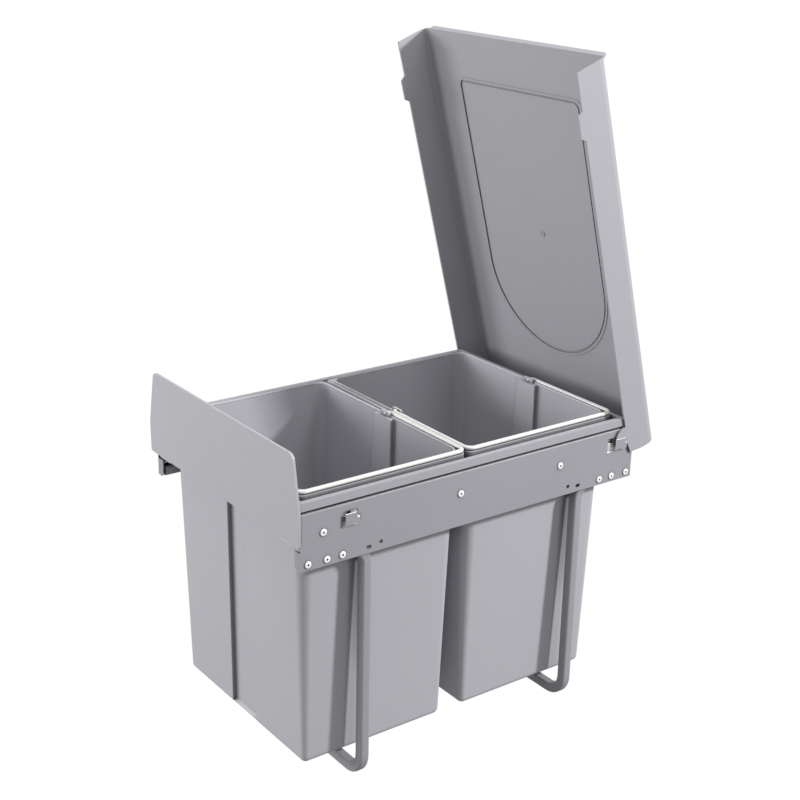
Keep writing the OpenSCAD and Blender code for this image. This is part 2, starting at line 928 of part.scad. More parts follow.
// rim plate with a skirt that stands on the carrier's ledge
module bin_rim() {
    top = rim_top - bin_floor;
    low = ledge_top - bin_floor;
    // the rim closes on the wall itself
    seat_x = floor_x + bin_draft * low - 0.5;
    seat_y = floor_y + bin_draft * low - 0.5;
    translate([0, 0, top - rim_sheet]) linear_extrude(rim_sheet) difference() {
        round_rect(2 * rim_x, 2 * rim_half, rim_corner);
        round_rect(2 * seat_x, 2 * seat_y, bin_corner + bin_draft * low);
    }
    translate([0, 0, low]) linear_extrude(top - low) difference() {
        round_rect(2 * rim_x, 2 * rim_half, rim_corner);
        round_rect(2 * (rim_x - rim_sheet), 2 * (rim_half - rim_sheet), rim_corner - rim_sheet);
    }
}

// ear on the lip that carries a bail pin
module bail_ear() {
    top = rim_top - bin_floor;
    translate([-lug_half, lip_y - lug_depth, top - rim_sheet]) {
        cube([2 * lug_half, lug_depth - lug_set, lug_height + rim_sheet]);
    }
}

module bin_body() {
    difference() {
        union() {
            bin_shell();
            bin_rim();
            for (s = [0, 1]) mirror([0, s, 0]) bail_ear();
        }
        translate([0, 0, bail_z - bin_floor]) rotate([90, 0, 0]) {
            cylinder(h = 4 * lip_y, r = bail_pin + turn_fit, center = true);
        }
        // room in the lip for the bail's elbows
        for (s = [0, 1]) mirror([0, s, 0]) {
            translate([-elbow_notch, lip_y - lug_set + 0.1, rim_top + 0.05 - bin_floor]) {
                cube([2 * elbow_notch, bail_rod, 2 * lip_height]);
            }
        }
    }
}

module bin_front() {
    color(dark_grey) place() translate([0, bin_y[0], bin_floor]) bin_body();
}

module bin_rear() {
    color(dark_grey) place() translate([0, bin_y[1], bin_floor]) bin_body();
}

// Bails

module arc_rod(radius, rod) {
    rotate_extrude(angle = 90) translate([radius, 0]) circle(rod);
}

// one arm of a bail with its corner, elbow and pin
module bail_side() {
    arm = bail_x - bail_bend - bail_elbow;
    run = bail_y - bail_bend;
    translate([bail_elbow, bail_y, 0]) rod_x(0, arm, bail_rod);
    translate([bail_x - bail_bend, run, 0]) arc_rod(bail_bend, bail_rod);
    translate([bail_x, 0, 0]) rotate([-90, 0, 0]) cylinder(h = run, r = bail_rod);
    translate([bail_elbow, bail_y - bail_elbow, 0]) rotate([0, 0, 90]) arc_rod(bail_elbow, bail_rod);
}

module bail_pin_end() {
    tip = lip_y - lug_depth - 1;
    translate([0, tip, 0]) rotate([-90, 0, 0]) cylinder(h = bail_y - bail_elbow - tip + over, r = bail_pin);
}

module bail() {
    for (s = [0, 1]) mirror([0, s, 0]) {
        bail_side();
        bail_pin_end();
    }
}

module bail_front() {
    color(cream) place() translate([0, bin_y[0], bail_z]) bail();
}

module bail_rear() {
    color(cream) place() translate([0, bin_y[1], bail_z]) bail();
}

// Lid, drawn upright with the hinge axis along X through the origin

// outline of the lid's side: distance from the axis toward the roof, height to the free end
module lid_side_outline() {
    r = lid_rear_round;
    polygon([
        [rear_low, -lid_overhang + 3.4], [1, -2.7], [lid_edge, 12], [lid_edge, lid_reach - 5.2],
        [roof, lid_reach], [roof, -lid_overhang + r], [roof - r, -lid_overhang],
        [rear_flat, -lid_overhang]
    ]);
    translate([roof - r, -lid_overhang + r]) circle(r);
}

// the space inside, open at the front and at the free end
module lid_hollow_outline() {
    r = lid_rear_round - lid_wall;
    low = -lid_overhang + lid_wall;
    polygon([
        [-2 * roof, low + 3.4], [rear_low, low + 3.4], [rear_flat, low], [roof_in - r, low],
        [roof_in, low + r], [roof_in, lid_reach + roof], [-2 * roof, lid_reach + roof]
    ]);
    translate([roof_in - r, low + r]) circle(r);
    // the rear wall stops short of the side plates
    translate([-2 * roof, -2 * lid_overhang]) square([2 * roof + notch, 2 * lid_overhang]);
}

// section across the lid: a tray with rounded upper edges
module lid_tray_section(w, top, r) {
    translate([-w, -2 * roof]) square([2 * w, 2 * roof + top - r]);
    translate([-w + r, 0]) square([2 * (w - r), top]);
    for (s = [-1, 1]) translate([s * (w - r), top - r]) circle(r);
}

module lid_tray() {
    long = lid_reach + 2 * roof;
    difference() {
        intersection() {
            along_x(-lid_out, 2 * lid_out) lid_side_outline();
            translate([0, 0, -roof]) linear_extrude(long) lid_tray_section(lid_out, roof, lid_side_round);
        }
        intersection() {
            along_x(-lid_out, 2 * lid_out) lid_hollow_outline();
            translate([0, 0, -roof]) linear_extrude(long) {
                lid_tray_section(lid_in, roof_in, lid_inner_round);
            }
        }
    }
}

// lip along the free end, turned outward
module lid_end_lip() {
    w = lid_out - lid_side_round + 3.5;
    along_x(-w, 2 * w) polygon([
        [roof - 1, lid_reach - 7], [roof, lid_reach - 10.5], [roof + 1.2, lid_reach - 6.5],
        [roof + lid_lip, lid_reach - 2.2], [roof + lid_lip - 0.6, lid_reach + 0.6],
        [roof, lid_reach], [roof - 1, lid_reach - 1.5]
    ]);
}

// outline of the framed field: straight sides and top, a half circle below
module field_outline(w) {
    drop = field_half - w;
    circle(w, $fn = 128);
    translate([-w, 0]) square([2 * w, field_high - field_low - drop - field_corner]);
    translate([-w + field_corner, 0]) square([2 * (w - field_corner), field_high - field_low - drop]);
    for (s = [-1, 1]) {
        translate([s * (w - field_corner), field_high - field_low - drop - field_corner]) {
            circle(field_corner);
        }
    }
}

// ring between the field outlines of two half widths, from the roof's inner face by d
module field_ring(outer, inner, y, d) {
    along_y(y, d) translate([0, field_low]) difference() {
        field_outline(outer);
        field_outline(inner);
    }
}

// hinge lobe, latch tab and hinge pin of one side
module lid_ears() {
    root = 4.6;
    along_x(lid_in, lid_wall) {
        intersection() {
            circle(lobe_radius);
            translate([-lobe_radius, -0.3]) square([lobe_radius + lid_edge + 1, lobe_radius + 1]);
        }
        circle(hinge_pin + 0.8);
        polygon([
            [lid_edge + 1, lid_tab_low - root], [lid_edge - 0.4, lid_tab_low - root + 0.2],
            [-lid_tab_drop, lid_tab_low], [-lid_tab_drop, lid_tab_high],
            [lid_edge - 0.9, lid_tab_high + root - 0.7], [lid_edge + 1, lid_tab_high + root]
        ]);
    }
    rod_x(x_plate + 0.2, lid_in - x_plate + 0.3, hinge_pin);
}

// raised disc with a ring groove where the moulding gate was
module gate_mark() {
    stand = 0.8;
    translate([gate_place[0], roof_in + 0.2, gate_place[1]]) rotate([90, 0, 0]) {
        cylinder(h = stand, r = gate_radius - 1.4);
        difference() {
            cylinder(h = stand, r = gate_radius);
            translate([0, 0, 0.4]) cylinder(h = stand, r = gate_radius - 0.7);
        }
    }
}

module lid_body() {
    difference() {
        union() {
            lid_tray();
            lid_end_lip();
        }
        field_ring(field_half, field_half - groove_width, roof_in + groove_depth, groove_depth + 0.1);
    }
    field_ring(field_half + bead_width, field_half, roof_in + 0.2, bead_height + 0.2);
    lid_ears();
    left() lid_ears();
    gate_mark();
}

module lid() {
    color(plastic_grey) place() translate([0, hinge_y, hinge_z]) rotate([lid_lean, 0, 0]) lid_body();
}

side_plate_right();
side_plate_left();
hoop_front();
hoop_rear();
hoop_rivets();
slide_rivets();
slide_outer_right();
slide_outer_left();
slide_middle_right();
slide_middle_left();
cage_outer_right();
cage_outer_left();
cage_inner_right();
cage_inner_left();
slide_inner_right();
slide_inner_left();
carrier_frame();
carrier_screws();
front_panel();
panel_screws();
bin_front();
bin_rear();
bail_front();
bail_rear();
lid();
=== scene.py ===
"""Looks of the pull-out waste unit: finishes, modelled pieces, lights and camera.

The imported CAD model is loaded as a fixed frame. Sizes in the classes below are in
millimetres in the drawing axes of the part's source: X across, Y back from the side
plates' front ends, Z up from their lower edges. ``to_row`` turns them into the row
frame in metres. The lights' places are already in the row frame.
"""

from __future__ import annotations

import json
import logging
import math
from dataclasses import dataclass
from enum import Enum

import bmesh
import bpy
import numpy as np
from mathutils import Matrix, Vector

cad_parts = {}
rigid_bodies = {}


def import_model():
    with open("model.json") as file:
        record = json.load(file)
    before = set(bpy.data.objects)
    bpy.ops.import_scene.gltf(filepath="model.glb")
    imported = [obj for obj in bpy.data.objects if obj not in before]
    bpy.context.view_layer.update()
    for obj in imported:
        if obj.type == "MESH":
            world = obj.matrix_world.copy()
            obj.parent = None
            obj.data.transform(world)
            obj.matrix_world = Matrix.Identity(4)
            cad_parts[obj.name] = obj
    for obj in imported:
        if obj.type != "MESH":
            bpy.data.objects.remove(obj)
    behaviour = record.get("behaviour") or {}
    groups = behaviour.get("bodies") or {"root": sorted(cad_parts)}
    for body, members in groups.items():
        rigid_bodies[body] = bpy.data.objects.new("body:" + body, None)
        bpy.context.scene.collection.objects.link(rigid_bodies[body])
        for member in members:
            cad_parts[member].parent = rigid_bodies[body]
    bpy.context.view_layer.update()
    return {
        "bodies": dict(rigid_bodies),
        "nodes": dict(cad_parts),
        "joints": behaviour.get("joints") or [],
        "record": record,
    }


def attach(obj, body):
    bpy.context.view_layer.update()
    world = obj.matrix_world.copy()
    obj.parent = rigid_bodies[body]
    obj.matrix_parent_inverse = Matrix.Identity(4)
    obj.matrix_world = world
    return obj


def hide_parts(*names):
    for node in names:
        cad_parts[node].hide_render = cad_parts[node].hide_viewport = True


LOG = logging.getLogger("scene")
MM = 0.001
# the row frame's origin in the drawing: middle of the depth, underside of the hoops
Y_MID = 261.262
Z_LOW = -298.0
SAMPLES = 192

# outer face of the side plates, their thickness and their length
PLATE_FACE = 165.0
PLATE_GAUGE = 1.5
PLATE_LENGTH = 492.0

LEFT_RIGHT = np.array([-1.0, 1.0, 1.0])
FRONT_BACK = np.array([1.0, -1.0, 1.0])

Point = tuple[float, float, float]
Profile = tuple[tuple[float, float], ...]


def to_row(points: np.ndarray) -> np.ndarray:
    """Turns drawing points into the row frame, by a shift and then a change of unit.

    Args:
        points: array of shape (..., 3) in millimetres.

    Returns:
        The same points in metres, origin under the unit's middle.
    """
    moved = np.asarray(points, float) - np.array([0.0, Y_MID, Z_LOW])
    return moved * MM


class Slot(Enum):
    """The record's material slots."""

    STEEL = "grey_steel"
    RIVET = "rivet_metal"
    ZINC = "zinc"
    PLASTIC = "grey_plastic"
    PANEL = "panel_grey"
    BIN = "bin_grey"
    BAIL = "bail_white"


@dataclass(frozen=True)
class Finish:
    """What a procedural finish needs to know.

    Attributes:
        colour: base colour, linear RGB.
        roughness: mean roughness.
        metallic: 0 for plastics and paint, 1 for uncoated metal.
        grain_scale: spatial frequency of the fine grain, 1/m.
        grain_depth: bump distance of the grain, in metres.
        tone: share by which the colour varies over the surface.
        streak: how far the tone is drawn out along Y, 1 for none.
        coat: weight of a clear coat.
        gap_shade: strength of the painted shade in narrow gaps.
        reach: how far from a gap the painted shade starts, in metres.
        window_glints: whether the windows' cut edges get a painted white glint.
    """

    colour: tuple[float, float, float]
    roughness: float
    metallic: float = 0.0
    grain_scale: float = 900.0
    grain_depth: float = 0.00005
    tone: float = 0.04
    streak: float = 1.0
    coat: float = 0.0
    gap_shade: float = 1.2
    reach: float = 0.006
    window_glints: bool = False


# Each finish darkens its colour in narrow gaps as painted shade. The steel also has white glints painted
# on the windows' cut edges.
FINISHES: dict[Slot, Finish] = {
    Slot.STEEL: Finish(
        (0.290, 0.288, 0.314), 0.42, grain_scale=1400.0, grain_depth=0.00006, tone=0.05,
        gap_shade=2.8, window_glints=True,
    ),
    Slot.PANEL: Finish((0.380, 0.376, 0.405), 0.45, grain_scale=1200.0, tone=0.03),
    Slot.PLASTIC: Finish(
        (0.336, 0.333, 0.360), 0.50, grain_scale=700.0, grain_depth=0.00006, tone=0.03, gap_shade=0.75
    ),
    Slot.BIN: Finish(
        (0.402, 0.398, 0.430), 0.48, grain_scale=700.0, grain_depth=0.00006, tone=0.035,
        gap_shade=1.35, reach=0.012,
    ),
    Slot.ZINC: Finish(
        (0.80, 0.80, 0.82), 0.36, 0.6, grain_scale=500.0, grain_depth=0.00003, tone=0.14, streak=8.0
    ),
    Slot.RIVET: Finish(
        (0.88, 0.88, 0.90), 0.42, 0.1, grain_scale=1200.0, grain_depth=0.00002, gap_shade=0.6
    ),
    Slot.BAIL: Finish(
        (0.64, 0.635, 0.62), 0.32, grain_scale=500.0, grain_depth=0.00002, tone=0.03, coat=0.25,
        gap_shade=0.5,
    ),
}
# near-black colour inside the rivets' holes: the mandrel's steel, painted darker as the hole's shade
RIVET_CORE_SHADE = Finish((0.05, 0.05, 0.055), 0.5, 0.6, tone=0.1)
# painted highlight: the white of the glints on the plates' window edges
GLINT_WHITE = (0.9, 0.9, 0.92, 1.0)
WHITE = (1.0, 1.0, 1.0, 1.0)

Input = bpy.types.NodeSocket | float | tuple[float, ...]


class NodeBench:
    """Adds nodes to one tree and fills their inputs."""

    def __init__(self, tree: bpy.types.NodeTree) -> None:
        """Keeps the tree that the nodes go to."""
        self._tree = tree

    def put(
        self, kind: str, inputs: dict[str | int, Input] | None = None, **settings: object
    ) -> bpy.types.Node:
        """Adds a node, sets its settings and then fills its inputs.

        Args:
            kind: the node's type in Blender.
            inputs: what goes into each input, as in ``fill``.
            settings: the node's own properties, such as its operation.

        Returns:
            The new node.
        """
        node = self._tree.nodes.new(kind)
        for name, value in settings.items():
            setattr(node, name, value)
        self.fill(node, inputs or {})
        return node

    def fill(self, node: bpy.types.Node, inputs: dict[str | int, Input]) -> None:
        """Fills a node's inputs.

        Args:
            node: the node.
            inputs: a plain value, or another node's output to link from, by name or number.
        """
        for key, value in inputs.items():
            if isinstance(value, bpy.types.NodeSocket):
                self._tree.links.new(value, node.inputs[key])
            else:
                node.inputs[key].default_value = value

    def math(self, operation: str, *values: Input) -> bpy.types.NodeSocket:
        """Adds a math node.

        Args:
            operation: its operation.
            values: its inputs in order.

        Returns:
            The node's output.
        """
        return self.put("ShaderNodeMath", dict(enumerate(values)), operation=operation).outputs[0]


class ShaderEffects:
    """Shared node groups. Each gives only values, masks or normals."""

    GRAIN_DETAIL = 3.0
    GRAIN_ROUGHNESS = 0.55
    GRAIN_SHARE = 0.35
    CLOUD_SCALE = 7.0
    CLOUD_DETAIL = 4.0
    SCUFF_SCALE = 60.0
    SCUFF_DETAIL = 6.0
    SCUFF_ROUGHNESS = 0.7
    SCUFF_RANGE = (0.3, 0.7)
    ROUGH_SHIFT = (-0.05, 0.06)
    GAP_SAMPLES = 8
    # the plates' windows lie outside this X and between these two heights
    WINDOW_X = 163.4
    WINDOW_LOW = 38.0
    WINDOW_HIGH = 60.0
    # a face whose normal has less of X than this is a cut edge
    CUT_NORMAL = 0.6

    def __init__(self) -> None:
        """Starts with no group made."""
        self._groups: dict[str, bpy.types.NodeTree] = {}

    def surface(self) -> bpy.types.NodeTree:
        """Group with the tone and painted gap shade, roughness and height of a fine-grained surface.

        Returns:
            The node group, made on first use.
        """
        if "surface" not in self._groups:
            self._groups["surface"] = self._make_surface()
        return self._groups["surface"]

    def glint_edges(self) -> bpy.types.NodeTree:
        """Group with the mask of the cut edges round the plates' windows and tabs, which get a painted
        glint.

        Returns:
            The node group, made on first use.
        """
        if "glint_edges" not in self._groups:
            self._groups["glint_edges"] = self._make_glint_edges()
        return self._groups["glint_edges"]

    def _make_surface(self) -> bpy.types.NodeTree:
        """Makes the surface group.

        The factor of tone and gap shade is 1 plus twice the tone times the noises' distance from
        their middle, times the openness of the place to the power of the gap shade strength.
        The second term is painted shade, which darkens the colour in narrow gaps.

        Returns:
            The node group.
        """
        tree = bpy.data.node_groups.new("surface_effects", "ShaderNodeTree")
        face = tree.interface
        face.new_socket(name="Vector", in_out="INPUT", socket_type="NodeSocketVector")
        for name, default in (
            ("Grain scale", Finish.grain_scale),
            ("Tone", Finish.tone),
            ("Gap shade", Finish.gap_shade),
            ("Reach", Finish.reach),
        ):
            socket = face.new_socket(name=name, in_out="INPUT", socket_type="NodeSocketFloat")
            socket.default_value = default
        for name in ("Tone and gap shade", "Rough shift", "Height"):
            face.new_socket(name=name, in_out="OUTPUT", socket_type="NodeSocketFloat")
        bench = NodeBench(tree)
        given = bench.put("NodeGroupInput").outputs
        grain = bench.put("ShaderNodeTexNoise", {
            "Vector": given["Vector"], "Scale": given["Grain scale"],
            "Detail": self.GRAIN_DETAIL, "Roughness": self.GRAIN_ROUGHNESS,
        }).outputs["Fac"]
        cloud = bench.put("ShaderNodeTexNoise", {
            "Vector": given["Vector"], "Scale": self.CLOUD_SCALE, "Detail": self.CLOUD_DETAIL,
        }).outputs["Fac"]
        scuff = bench.put("ShaderNodeTexNoise", {
            "Vector": given["Vector"], "Scale": self.SCUFF_SCALE,
            "Detail": self.SCUFF_DETAIL, "Roughness": self.SCUFF_ROUGHNESS,
        }).outputs["Fac"]
        centred = bench.math("SUBTRACT", cloud, 0.5)
        mottled = bench.math("MULTIPLY_ADD", grain, self.GRAIN_SHARE, centred)
        even = bench.math("SUBTRACT", mottled, self.GRAIN_SHARE / 2)
        doubled = bench.math("MULTIPLY", given["Tone"], 2.0)
        tone = bench.math("MULTIPLY_ADD", even, doubled, 1.0)
        # painted shade: the colour is darkened in narrow gaps, where shade falls
        openness = bench.put(
            "ShaderNodeAmbientOcclusion", {"Distance": given["Reach"]}, samples=self.GAP_SAMPLES
        ).outputs["AO"]
        gap = bench.math("POWER", openness, given["Gap shade"])
        low, high = self.SCUFF_RANGE
        smooth, rough = self.ROUGH_SHIFT
        shift = bench.put("ShaderNodeMapRange", {
            "Value": scuff, "From Min": low, "From Max": high, "To Min": smooth, "To Max": rough,
        })
        bench.put("NodeGroupOutput", {
            "Tone and gap shade": bench.math("MULTIPLY", tone, gap),
            "Rough shift": shift.outputs["Result"],
            "Height": grain,
        })
        return tree

    def _make_glint_edges(self) -> bpy.types.NodeTree:
        """Makes the mask group of the painted glints, a product of four tests that each give 0 or 1.

        Returns:
            The node group.
        """
        tree = bpy.data.node_groups.new("glint_edges", "ShaderNodeTree")
        face = tree.interface
        for name in ("Vector", "Normal"):
            face.new_socket(name=name, in_out="INPUT", socket_type="NodeSocketVector")
        face.new_socket(name="Mask", in_out="OUTPUT", socket_type="NodeSocketFloat")
        bench = NodeBench(tree)
        given = bench.put("NodeGroupInput").outputs
        place = bench.put("ShaderNodeSeparateXYZ", {"Vector": given["Vector"]}).outputs
        normal = bench.put("ShaderNodeSeparateXYZ", {"Vector": given["Normal"]}).outputs
        outside = bench.math("ABSOLUTE", place["X"])
        across = bench.math("ABSOLUTE", normal["X"])
        mask = bench.math("GREATER_THAN", outside, self.WINDOW_X * MM)
        for value, operation, limit in (
            (place["Z"], "GREATER_THAN", (self.WINDOW_LOW - Z_LOW) * MM),
            (place["Z"], "LESS_THAN", (self.WINDOW_HIGH - Z_LOW) * MM),
            (across, "LESS_THAN", self.CUT_NORMAL),
        ):
            mask = bench.math("MULTIPLY", mask, bench.math(operation, value, limit))
        bench.put("NodeGroupOutput", {"Mask": mask})
        return tree


class FinishLibrary:
    """Makes one procedural material for each slot, on first use."""

    BUMP_STRENGTH = 0.35
    IOR = 1.46

    def __init__(self, effects: ShaderEffects) -> None:
        """Keeps the node groups that every material shares."""
        self._effects = effects
        self._made: dict[str, bpy.types.Material] = {}

    def get(self, slot: Slot) -> bpy.types.Material:
        """Material of a slot, shared by every piece of that slot."""
        return self._once(slot.value, FINISHES[slot])

    def core(self) -> bpy.types.Material:
        """Mandrel steel inside the rivets, painted near black for the shade in their holes."""
        return self._once("rivet_core_shade", RIVET_CORE_SHADE)

    def _once(self, name: str, finish: Finish) -> bpy.types.Material:
        """Makes a material the first time that it is asked for.

        Args:
            name: the material's name.
            finish: its finish.

        Returns:
            The material of that name.
        """
        if name not in self._made:
            self._made[name] = self._make(name, finish)
        return self._made[name]

    def _make(self, name: str, finish: Finish) -> bpy.types.Material:
        """Makes one material: tone and painted gap shade on the colour, scuffs on the roughness, grain as
        a bump.

        Args:
            name: the material's name.
            finish: its finish.

        Returns:
            The new material.
        """
        material = bpy.data.materials.new(name)
        material.use_nodes = True
        material.node_tree.nodes.clear()
        bench = NodeBench(material.node_tree)
        where = bench.put("ShaderNodeTexCoord").outputs["Object"]
        stretch = bench.put(
            "ShaderNodeMapping", {"Vector": where, "Scale": (1.0, 1.0 / finish.streak, 1.0)}
        )
        effects = bench.put("ShaderNodeGroup", {
            "Vector": stretch.outputs["Vector"],
            "Grain scale": finish.grain_scale,
            "Tone": finish.tone,
            "Gap shade": finish.gap_shade,
            "Reach": finish.reach,
        }, node_tree=self._effects.surface()).outputs
        # the colour is the finish's colour times the random tone and the painted shade in narrow gaps
        colour = bench.put(
            "ShaderNodeVectorMath", {0: finish.colour, "Scale": effects["Tone and gap shade"]}, operation="SCALE"
        ).outputs["Vector"]
        # painted highlight: white glints on the cut edges of the plates' windows
        if finish.window_glints:
            colour = self._with_painted_glints(bench, colour, where)
        bump = bench.put("ShaderNodeBump", {
            "Strength": self.BUMP_STRENGTH, "Distance": finish.grain_depth, "Height": effects["Height"],
        })
        shader = bench.put("ShaderNodeBsdfPrincipled", {
            "Base Color": colour,
            "Roughness": bench.math("ADD", effects["Rough shift"], finish.roughness),
            "Normal": bump.outputs["Normal"],
            "Metallic": finish.metallic,
            "Coat Weight": finish.coat,
            "IOR": self.IOR,
        })
        bench.put("ShaderNodeOutputMaterial", {"Surface": shader.outputs["BSDF"]})
        return material

    def _with_painted_glints(
        self, bench: NodeBench, colour: bpy.types.NodeSocket, where: bpy.types.NodeSocket
    ) -> bpy.types.NodeSocket:
        """Mixes in a painted white glint where the mask of the cut edges is 1.

        Args:
            bench: the material's nodes.
            colour: colour of the coated surface.
            where: Object coordinates.

        Returns:
            The mixed colour.
        """
        geometry = bench.put("ShaderNodeNewGeometry")
        mask = bench.put(
            "ShaderNodeGroup",
            {"Vector": where, "Normal": geometry.outputs["True Normal"]},
            node_tree=self._effects.glint_edges(),
        )
        mix = bench.put("ShaderNodeMix", {"Factor": mask.outputs["Mask"]}, data_type="RGBA")
        coated, glint_input = [n for n, socket in enumerate(mix.inputs) if socket.type == "RGBA"]
        bench.fill(mix, {coated: colour, glint_input: GLINT_WHITE})
        return next(socket for socket in mix.outputs if socket.type == "RGBA")


@dataclass(frozen=True)
class CameraSolve:
    """The photograph's camera, recovered in the drawing axes.

    Attributes:
        azimuth: turn round Z, in degrees, 0 from the front.
        elevation: height above the horizon, in degrees.
        roll: turn round the line of sight, in degrees.
        lens: focal length in millimetres.
        sensor: width of the sensor in millimetres.
        place: where the camera stands.
        centre: picture point on the line of sight, in pixels.
        picture: side of the square picture, in pixels.
        clip: nearest and farthest distance shown, in metres.
    """

    azimuth: float = 53.495
    elevation: float = 19.945
    roll: float = 1.255
    lens: float = 65.997
    sensor: float = 36.0
    place: Point = (1369.7, -762.4, 717.2)
    centre: tuple[float, float] = (400.9, 399.9)
    picture: float = 800.0
    clip: tuple[float, float] = (0.05, 50.0)

    def build(self) -> bpy.types.Object:
        """Makes the scene's camera, whose axes are the right, up and back directions.

        Returns:
            The camera object.
        """
        data = bpy.data.cameras.new("camera")
        data.lens = self.lens
        data.sensor_width = self.sensor
        data.sensor_fit = "HORIZONTAL"
        data.shift_x = -(self.centre[0] - self.picture / 2) / self.picture
        data.shift_y = (self.centre[1] - self.picture / 2) / self.picture
        data.clip_start, data.clip_end = self.clip
        camera = bpy.data.objects.new("camera", data)
        bpy.context.scene.collection.objects.link(camera)
        turn, rise = math.radians(self.azimuth), math.radians(self.elevation)
        level = math.cos(rise)
        back = Vector((math.sin(turn) * level, -math.cos(turn) * level, math.sin(rise)))
        right = Vector((math.cos(turn), math.sin(turn), 0.0))
        axes = Matrix((right, back.cross(right), back)).transposed().to_4x4()
        axes = axes @ Matrix.Rotation(math.radians(self.roll), 4, "Z")
        axes.translation = Vector(to_row(np.array(self.place)).tolist())
        camera.matrix_world = axes
        bpy.context.scene.camera = camera
        return camera


@dataclass(frozen=True)
class AreaLight:
    """One soft box, in the row frame.

    Attributes:
        name: the light's name.
        place: its middle, in metres.
        target: the point that it faces.
        size: its side, in metres.
        power: its power, in watts.
    """

    name: str
    place: Point
    target: Point
    size: float
    power: float

    def build(self) -> None:
        """Puts the light in the scene, turned to its target."""
        data = bpy.data.lights.new(self.name, "AREA")
        data.shape = "SQUARE"
        data.size = self.size
        data.energy = self.power
        lamp = bpy.data.objects.new(self.name, data)
        lamp.location = self.place
        aim = Vector(self.target) - Vector(self.place)
        lamp.rotation_mode = "QUATERNION"
        lamp.rotation_quaternion = aim.to_track_quat("-Z", "Y")
        bpy.context.scene.collection.objects.link(lamp)


@dataclass(frozen=True)
class Studio:
    """White studio: an even world, soft boxes and a white background for the camera.

    Attributes:
        ambient: strength of the even light.
        backdrop: strength that the camera sees, 1 for white.
        lights: the soft boxes.
    """

    ambient: float = 0.36
    backdrop: float = 1.0
    lights: tuple[AreaLight, ...] = (
        AreaLight("key", (2.09, 1.82, 1.88), (0.0, 0.0, 0.3), 0.28, 104.0),
        AreaLight("side_high", (2.73, 0.48, 1.9), (0.0, 0.0, 0.3), 0.5, 12.0),
        AreaLight("front", (-0.82, -3.04, 0.86), (0.0, 0.0, 0.3), 1.0, 39.0),
        AreaLight("front_left", (-2.2, -2.2, 1.0), (0.0, 0.0, 0.3), 1.2, 49.0),
        AreaLight("top", (0.3, -0.3, 2.9), (0.0, 0.0, 0.4), 1.0, 38.0),
    )

    def build(self) -> None:
        """Makes the world and the lights."""
        world = bpy.data.worlds.new("studio")
        bpy.context.scene.world = world
        world.use_nodes = True
        world.node_tree.nodes.clear()
        bench = NodeBench(world.node_tree)
        even, white = (
            bench.put("ShaderNodeBackground", {"Color": WHITE, "Strength": strength})
            for strength in (self.ambient, self.backdrop)
        )
        mix = bench.put("ShaderNodeMixShader", {
            0: bench.put("ShaderNodeLightPath").outputs["Is Camera Ray"],
            1: even.outputs[0],
            2: white.outputs[0],
        })
        bench.put("ShaderNodeOutputWorld", {"Surface": mix.outputs[0]})
        for light in self.lights:
            light.build()


def arc(centre: tuple[float, float], radius: float, start: float, end: float, steps: int) -> np.ndarray:
    """Points on a circular arc: the centre plus the radius times cosine and sine.

    Args:
        centre: middle of the arc.
        radius: its radius.
        start: first angle in degrees.
        end: last angle in degrees.
        steps: spans between points.

    Returns:
        Array of shape (steps + 1, 2).
    """
    angle = np.radians(np.linspace(start, end, steps + 1))
    return np.column_stack((centre[0] + radius * np.cos(angle), centre[1] + radius * np.sin(angle)))


def rounding(radius: float, end: float, steps: int) -> np.ndarray:
    """Steps of a rounded edge: the rise is r sin t, and the inset r (1 - cos t).

    Args:
        radius: radius r of the rounding.
        end: last angle t in degrees, from 0.
        steps: spans between points.

    Returns:
        Array of rise and inset, of shape (steps + 1, 2).
    """
    angle = np.radians(np.linspace(0.0, end, steps + 1))
    return radius * np.column_stack((np.sin(angle), 1.0 - np.cos(angle)))


def rounded_rect(width: float, depth: float, radius: float, steps: int) -> np.ndarray:
    """Closed outline of a rectangle with round corners, counterclockwise.

    Args:
        width: size along the first axis.
        depth: size along the second axis.
        radius: radius of the corners.
        steps: spans in each corner.

    Returns:
        Array of shape (4 * steps + 4, 2).
    """
    a, b = width / 2 - radius, depth / 2 - radius
    middles = ((a, -b), (a, b), (-a, b), (-a, -b))
    starts = (-90.0, 0.0, 90.0, 180.0)
    return np.vstack([arc(m, radius, t, t + 90.0, steps) for m, t in zip(middles, starts)])


